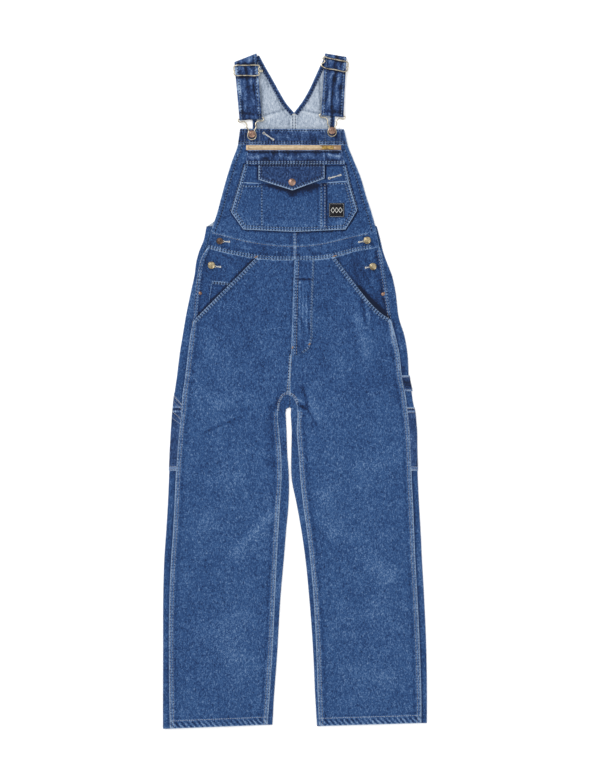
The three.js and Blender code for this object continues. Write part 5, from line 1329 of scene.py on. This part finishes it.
# A round wire: a ring of points carried along a smooth path, closed or open, turned by the path's own
# frame.
def wirePiece(name, node, path, closed):
    steps, sides = wire["closedSteps" if closed else "openSteps"], wire["sides"]
    p = np.asarray(path, float)
    if closed:
        p = np.vstack([p[-3:], p, p[:3]])
    s = lengths(p)
    low, high = (s[3], s[-3]) if closed else (0, s[-1])
    at = np.linspace(low, high, steps, endpoint=not closed)
    centre = through(s, p, at)
    way = through(s, p, at + 0.05) - through(s, p, at - 0.05)
    way /= np.linalg.norm(way, axis=1)[:, None]
    side = np.cross(way, (0, 0, 1))
    side /= np.linalg.norm(side, axis=1)[:, None] + 1e-9
    up = np.cross(side, way)
    angle = 2 * np.pi * np.arange(sides) / sides
    ring = np.cos(angle)[None, :, None] * side[:, None] + np.sin(angle)[None, :, None] * up[:, None]
    points = (centre[:, None] + wire["radius"] * ring).reshape(-1, 3)
    r = np.arange(steps if closed else steps - 1)[:, None]
    c = np.arange(sides)[None, :]
    nextR, nextC = (r + 1) % steps, (c + 1) % sides
    quads = np.stack([r * sides + c, r * sides + nextC, nextR * sides + nextC, nextR * sides + c], -1)
    quads = quads.reshape(-1, 4)
    sets = [quads]
    if not closed:
        sets.append(np.stack([np.arange(sides)[::-1], np.arange(sides) + (steps - 1) * sides]))
    if volumeOf(points - points.mean(0), quads) < 0:
        sets = [f[:, ::-1] for f in sets]
    attach(makeMesh(name, points, sets, None, brass), "buckle_wire", node)


def mirrorPath(half):
    half = np.array(half, float)
    back = half[np.abs(half[:, 0]) > 0.01][::-1] * (-1, 1, 1)
    return np.vstack([half, back])


hookHalf = [(0, 36.8, 5.2), (12, 36.8, 5.2), (25.4, 36.8, 5.2), (29.6, 34.6, 5.2), (28, 30.6, 5.6),
            (15, 29, 6.6),
            (10.8, 24.6, 8), (10.4, 15, 8.9), (6.4, 8.4, 8.7), (8.6, 1.6, 8.6), (9.3, -4.4, 8.6),
            (6.6, -10, 8.6),
            (0, -12.4, 8.6)]
# Sliders: half of the upper wire and the outer end, and the pinched end beside the neck, from the top down.
sliderHalf = [(0, 11.6, 8.8), (12, 11.6, 8.8), (23, 11.6, 8.8), (28.4, 8.8, 7.8), (29, 4.4, 6),
              (28.8, 0, 5)]
pinched = {
    -1: [(23, 11.8, 8.8), (28, 11, 8.2), (30, 7.6, 7.4), (27.4, 4.4, 6.6), (27.2, 1.6, 6), (31, 0.6, 5.6),
         (36, 0.2, 5.4),
         (36.4, -2, 5.4), (31, -2.4, 5.6), (27.6, -4, 6), (29.4, -7.2, 7), (27.6, -10.8, 8.2),
         (23, -11.8, 8.8)],
    1: [(23, 11.8, 8.8), (28.6, 12.6, 8.4), (31.4, 9.6, 7.6), (29, 6.4, 6.8), (26, 4.4, 6.2),
        (25.6, 1.6, 6), (28.4, -1, 6),
        (31.8, -4, 6.6), (30.4, -8.6, 7.8), (23, -11.8, 8.8)],
}
for side in (-1, 1):
    shape = strapShapes[side]
    knob = np.array(shape["knob"])
    lean = (shape["leftHook"][0] + shape["rightHook"][0]) / 2 - knob[0]
    half = mirrorPath(hookHalf)
    share = np.maximum(0, half[:, 1] / 36.8)
    path = np.column_stack([knob[0] + half[:, 0] + lean * share,
                            knob[1] + half[:, 1] + half[:, 0] * shape["slope"] * share,
                            half[:, 2]])
    wirePiece("hook_" + sideName[side] + "_wire", "hook_" + sideName[side], path, True)
    x, y, tilt = shape["slider"]
    half = np.array(sliderHalf)
    outerEnd = np.vstack([half, half[:-1][::-1] * (1, -1, 1)]) * (side, 1, 1)
    innerEnd = (np.array(pinched[side]) * (-side, 1, 1))[::-1]
    ring = np.vstack([outerEnd, innerEnd])
    turn = math.radians(tilt)
    spin = np.array([(math.cos(turn), math.sin(turn)), (-math.sin(turn), math.cos(turn))])
    bar = np.array([(-29.2, 0, 5), (-12, 0, 4.9), (0, 0, 4.8), (12, 0, 4.9), (29.2, 0, 5)])
    for part, points, closed in (("ring", ring, True), ("bar", bar, False)):
        placed = np.column_stack([points[:, :2] @ spin + (x, y), points[:, 2]])
        node = "slider_" + sideName[side]
        wirePiece(node + "_" + part, node, placed, closed)


# A turned piece: a profile of radius and height carried once round, with single points where it meets the
# axis.
def turnedPiece(node, profile, centre, z, material, sides=48):
    profile = np.array(profile, float)
    angle = 2 * np.pi * np.arange(sides) / sides
    ring = np.stack([np.cos(angle), np.sin(angle)], 1)
    shape = profile[1:-1]
    side = np.concatenate([np.column_stack([r * ring + centre, np.full(sides, z + h)]) for r, h in shape])
    points = np.vstack([side, [(*centre, z + profile[0, 1]), (*centre, z + profile[-1, 1])]])
    quads = gridFaces(len(shape), sides, wrap=True)
    first, last = len(side), len(side) + 1
    k = np.arange(sides)
    low = np.stack([np.full(sides, first), (k + 1) % sides, k], 1)
    top = (len(shape) - 1) * sides
    high = np.stack([np.full(sides, last), top + k, top + (k + 1) % sides], 1)
    attach(makeMesh(node + "_metal", points, [quads, low, high], None, material, 40), "buttons", node)


def buttonProfile(lift, r):
    low, high = 1.6 + lift, 4.6 + lift
    return [(0, 0), (3.2, 0), (3.2, low), (r - 0.9, low), (r - 0.2, low + 0.35), (r, low + 1.0),
            (r - 0.2, high - 1.1),
            (r - 0.9, high - 0.45), (r - 1.5, high - 0.35), (r - 2.0, high - 0.75), (r - 2.6, high - 0.95),
            (r - 3.4, high - 0.75), (r - 4.4, high - 0.35), (r - 6, high - 0.1), (1, high), (0, high)]


for key, x, y, above, lift, material, radius in (
        ("button_bib_left", -98, 590, 1.3, 2.7, copper, 8.5),
        ("button_bib_right", 86, 597.6, 1.3, 2.7, copper, 8.5),
        ("button_side_upper_left", -172, 344.6, 0, 0, darkMetal, 7.8),
        ("button_side_upper_right", 166.8, 346.4, 0, 0, bronze, 8.5),
        ("button_side_lower_left", -191, 289, 0, 0, bronze, 8.5),
        ("button_side_lower_right", 180, 286, 0, 0, bronze, 8.5)):
    drop = facingDrop(np.array(x), np.array(y), -1 if x < 0 else 1) if "lower" in key else 0
    z = float(bodyTop(np.array(float(x)), np.array(float(y))) - drop) + above + 0.3
    turnedPiece(key, buttonProfile(lift, radius), (x, y), z, material)

snapAt = (-5.8, 479.6)
snapZ = float(bodyTop(*np.array(snapAt))) + 4.2
snapProfile = [(0, 0), (7.6, 0), (8.3, 0.5), (8.1, 1.1), (7.2, 1.4), (6.5, 1.1), (5.9, 1.5), (5, 2.1),
               (3.4, 2.5),
               (1, 2.6), (0, 2.6)]
turnedPiece("flap_snap", snapProfile, snapAt, snapZ, copper)
rivetProfile = [(0, 0), (3.8, 0), (4, 0.3), (3.7, 0.7), (2.6, 0.8), (2.1, 1.3), (1, 1.6), (0, 1.6)]
for key, x, y in (("rivet_left", -216.8, 225), ("rivet_right", 203, 223)):
    z = float(bodyTop(np.array(x), np.array(float(y)))) + 0.4
    turnedPiece(key, rivetProfile, (x, y), z, copper, 32)

# Zip teeth: two rows of small blocks, half a pitch apart, on the tape.
teeth = {"from": -104, "to": 66, "pitch": 1.9, "size": (1.25, 3.0, 1.1), "y": 559.5}
at = np.arange(teeth["from"], teeth["to"], teeth["pitch"] / 2)
rowSide = np.where(np.arange(len(at)) % 2 == 0, -1, 1)
cx, cy = at, teeth["y"] + rowSide * 0.9
cz = surface("zip_tape", cx, cy) + 0.35
corner = np.array([(a, b, c) for c in (-0.5, 0.5) for b in (-0.5, 0.5) for a in (-0.5, 0.5)])
taper = np.where(corner[:, 2:] > 0, 0.82, 1.0) * (1, 1, 1 / 0.9)
blocks = np.stack([cx, cy, cz], 1)[:, None] + corner * taper * teeth["size"]
box = np.array([(0, 2, 3, 1), (4, 5, 7, 6), (0, 1, 5, 4), (1, 3, 7, 5), (3, 2, 6, 7), (2, 0, 4, 6)])
quads = (box[None] + 8 * np.arange(len(at))[:, None, None]).reshape(-1, 4)
if volumeOf(blocks[0] - blocks[0].mean(0), box) < 0:
    quads = quads[:, ::-1]
creamTeeth = metalMaterial("zipTeeth", srgb(170, 150, 116), srgb(226, 210, 180), 0.5, 0.35)
attach(makeMesh("zip_teeth", blocks.reshape(-1, 3), [quads], None, creamTeeth, 0), "zip_metal")

for key in ("zip_slider", "zip_pull"):
    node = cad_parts[key]
    node.data.materials.clear()
    node.data.materials.append(zipBrass)

# Bartacks and buttonholes.
for name, a, b, colour in (
        ("waistband_left", (-92, 306.8), (-85, 309.6), "rust"),
        ("waistband_right", (88, 309), (96, 312.4), "rust"),
        ("pocket_facing_left", (-188, 247), (-184.6, 251.6), "rust"),
        ("fly", (-6.2, 97.4), (-3.2, 103), "rust"),
        ("fly", (32, 106), (36.4, 110), "rust"), ("front_leg_right", (204.8, 221), (207, 227), "rust")):
    satinOn(name, [a, b], colour, 3.0)


# A worked buttonhole: bars of thread round a slit that opens to an eyelet at its first end.
def buttonhole(name, eye, tail):
    eye, tail = np.array(eye, float), np.array(tail, float)
    way = (tail - eye) / np.linalg.norm(tail - eye)
    across = np.array([-way[1], way[0]])
    turn = np.radians(np.linspace(40, 320, 15))
    ring = eye + 2.3 * (np.cos(turn)[:, None] * way + np.sin(turn)[:, None] * across)
    path = np.vstack([tail + 1.2 * across, ring, tail - 1.2 * across])
    satinOn(name, path, "white", 1.7, 0.8)
    satinOn(name, [tail - 2 * across, tail + 2 * across], "white", 2.2, 0.7)
    # The slit: a row of dark thread that stands for the shade in the open cut.
    pending.append((name, smoothPath([eye - 0.8 * way, tail], 1.0), "dark", 2.0, None))


for name, eye, tail in (
        ("bib_top_band", (-70.6, 592.6), (-48.4, 577.4)), ("pocket_base", (79.6, 489), (106.4, 496.6)),
        ("waistband_left", (-164.7, 343.9), (-149.4, 343.2)),
        ("waistband_right", (160, 344.4), (147.4, 342.4)),
        ("pocket_facing_left", (-183, 286.6), (-170, 285.4)),
        ("pocket_facing_right", (176, 285.4), (162.8, 283.6))):
    buttonhole(name, eye, tail)

# The reinforced squares behind the bib's buttons, the knot at the point of the neck, and the patch's own
# border
# and lattice of thread.
for x0, x1, y0, y1 in ((-114.6, -79.8, 571.6, 600.4), (70, 104.8, 572.4, 600.4)):
    for a, b in (((x0, y1), (x0, y0)), ((x0, y0), (x1, y0)), ((x1, y0), (x1, y1))):
        pending.append(("bib_top_band", smoothPath([a, b], 3), "blue", 4.0, None))
satinOn("back_bib_left", [(-4.6, 636), (-1.6, 636)], "white", 3.0, 0.7)
satinOn("back_bib_right", [(-0.8, 636), (2.2, 636)], "white", 3.0, 0.7)
ring = [(80.6, 401), (80.6, 430), (112.6, 430), (112.6, 401), (80.6, 401)]
for a, b in zip(ring[:-1], ring[1:]):
    pending.append(("label", smoothPath([a, b], 3), "pale", 2.6, None))
for k in range(3):
    x = 88 + 8.6 * k
    rhomb = [(x, 409.5), (x + 4.3, 415.5), (x, 421.5), (x - 4.3, 415.5), (x, 409.5)]
    for a, b in zip(rhomb[:-1], rhomb[1:]):
        satinOn("label", [a, b], "white", 1.5, 0.7)

print("stitches")
sewPending()
for colour, (slotName, darker, lighter) in threadLooks.items():
    shade = threadMaterial("thread" + colour.capitalize(), srgb(*darker), srgb(*lighter))
    threadPiece("stitching_" + colour, colour, shade, slotName)

print("floor, light and camera")

floorMaterial, _, shader = newMaterial("paleFloor")
shader.inputs["Base Color"].default_value = srgb(250, 250, 250)
shader.inputs["Roughness"].default_value = 0.9
shader.inputs["Specular IOR Level"].default_value = 0.1
floorMesh = bpy.data.meshes.new("floor")
floorMesh.from_pydata([(-6, -6, -0.0004), (6, -6, -0.0004), (6, 6, -0.0004), (-6, 6, -0.0004)], [],
                      [(0, 1, 2, 3)])
floorMesh.materials.append(floorMaterial)
floorObject = bpy.data.objects.new("floor", floorMesh)
bpy.context.scene.collection.objects.link(floorObject)

bpy.context.scene.view_settings.view_transform = "Standard"
world = bpy.data.worlds.new("softLight")
world.use_nodes = True
world.node_tree.nodes["Background"].inputs["Color"].default_value = (1, 1, 1, 1)
world.node_tree.nodes["Background"].inputs["Strength"].default_value = 1.06
bpy.context.scene.world = world

lights = {"key": ((-2.4, 2.6, 2.4), 2.4, 105), "fill": ((2.6, -1.2, 3.2), 3.0, 40)}
for name, (place, size, power) in lights.items():
    lamp = bpy.data.lights.new(name, "AREA")
    lamp.size = size
    lamp.energy = power
    holder = bpy.data.objects.new(name, lamp)
    holder.location = place
    way = np.array(place)
    holder.rotation_euler = (math.acos(way[2] / np.linalg.norm(way)), 0,
                             math.atan2(way[1], way[0]) + math.pi / 2)
    bpy.context.scene.collection.objects.link(holder)

camera = bpy.data.cameras.new("camera")
camera.lens = 100
camera.sensor_width = 36
camera.sensor_fit = "AUTO"
camera.clip_end = 50
cameraObject = bpy.data.objects.new("camera", camera)
cameraObject.location = (0.0124, 0.0014, 4.99)
bpy.context.scene.collection.objects.link(cameraObject)
bpy.context.scene.camera = cameraObject
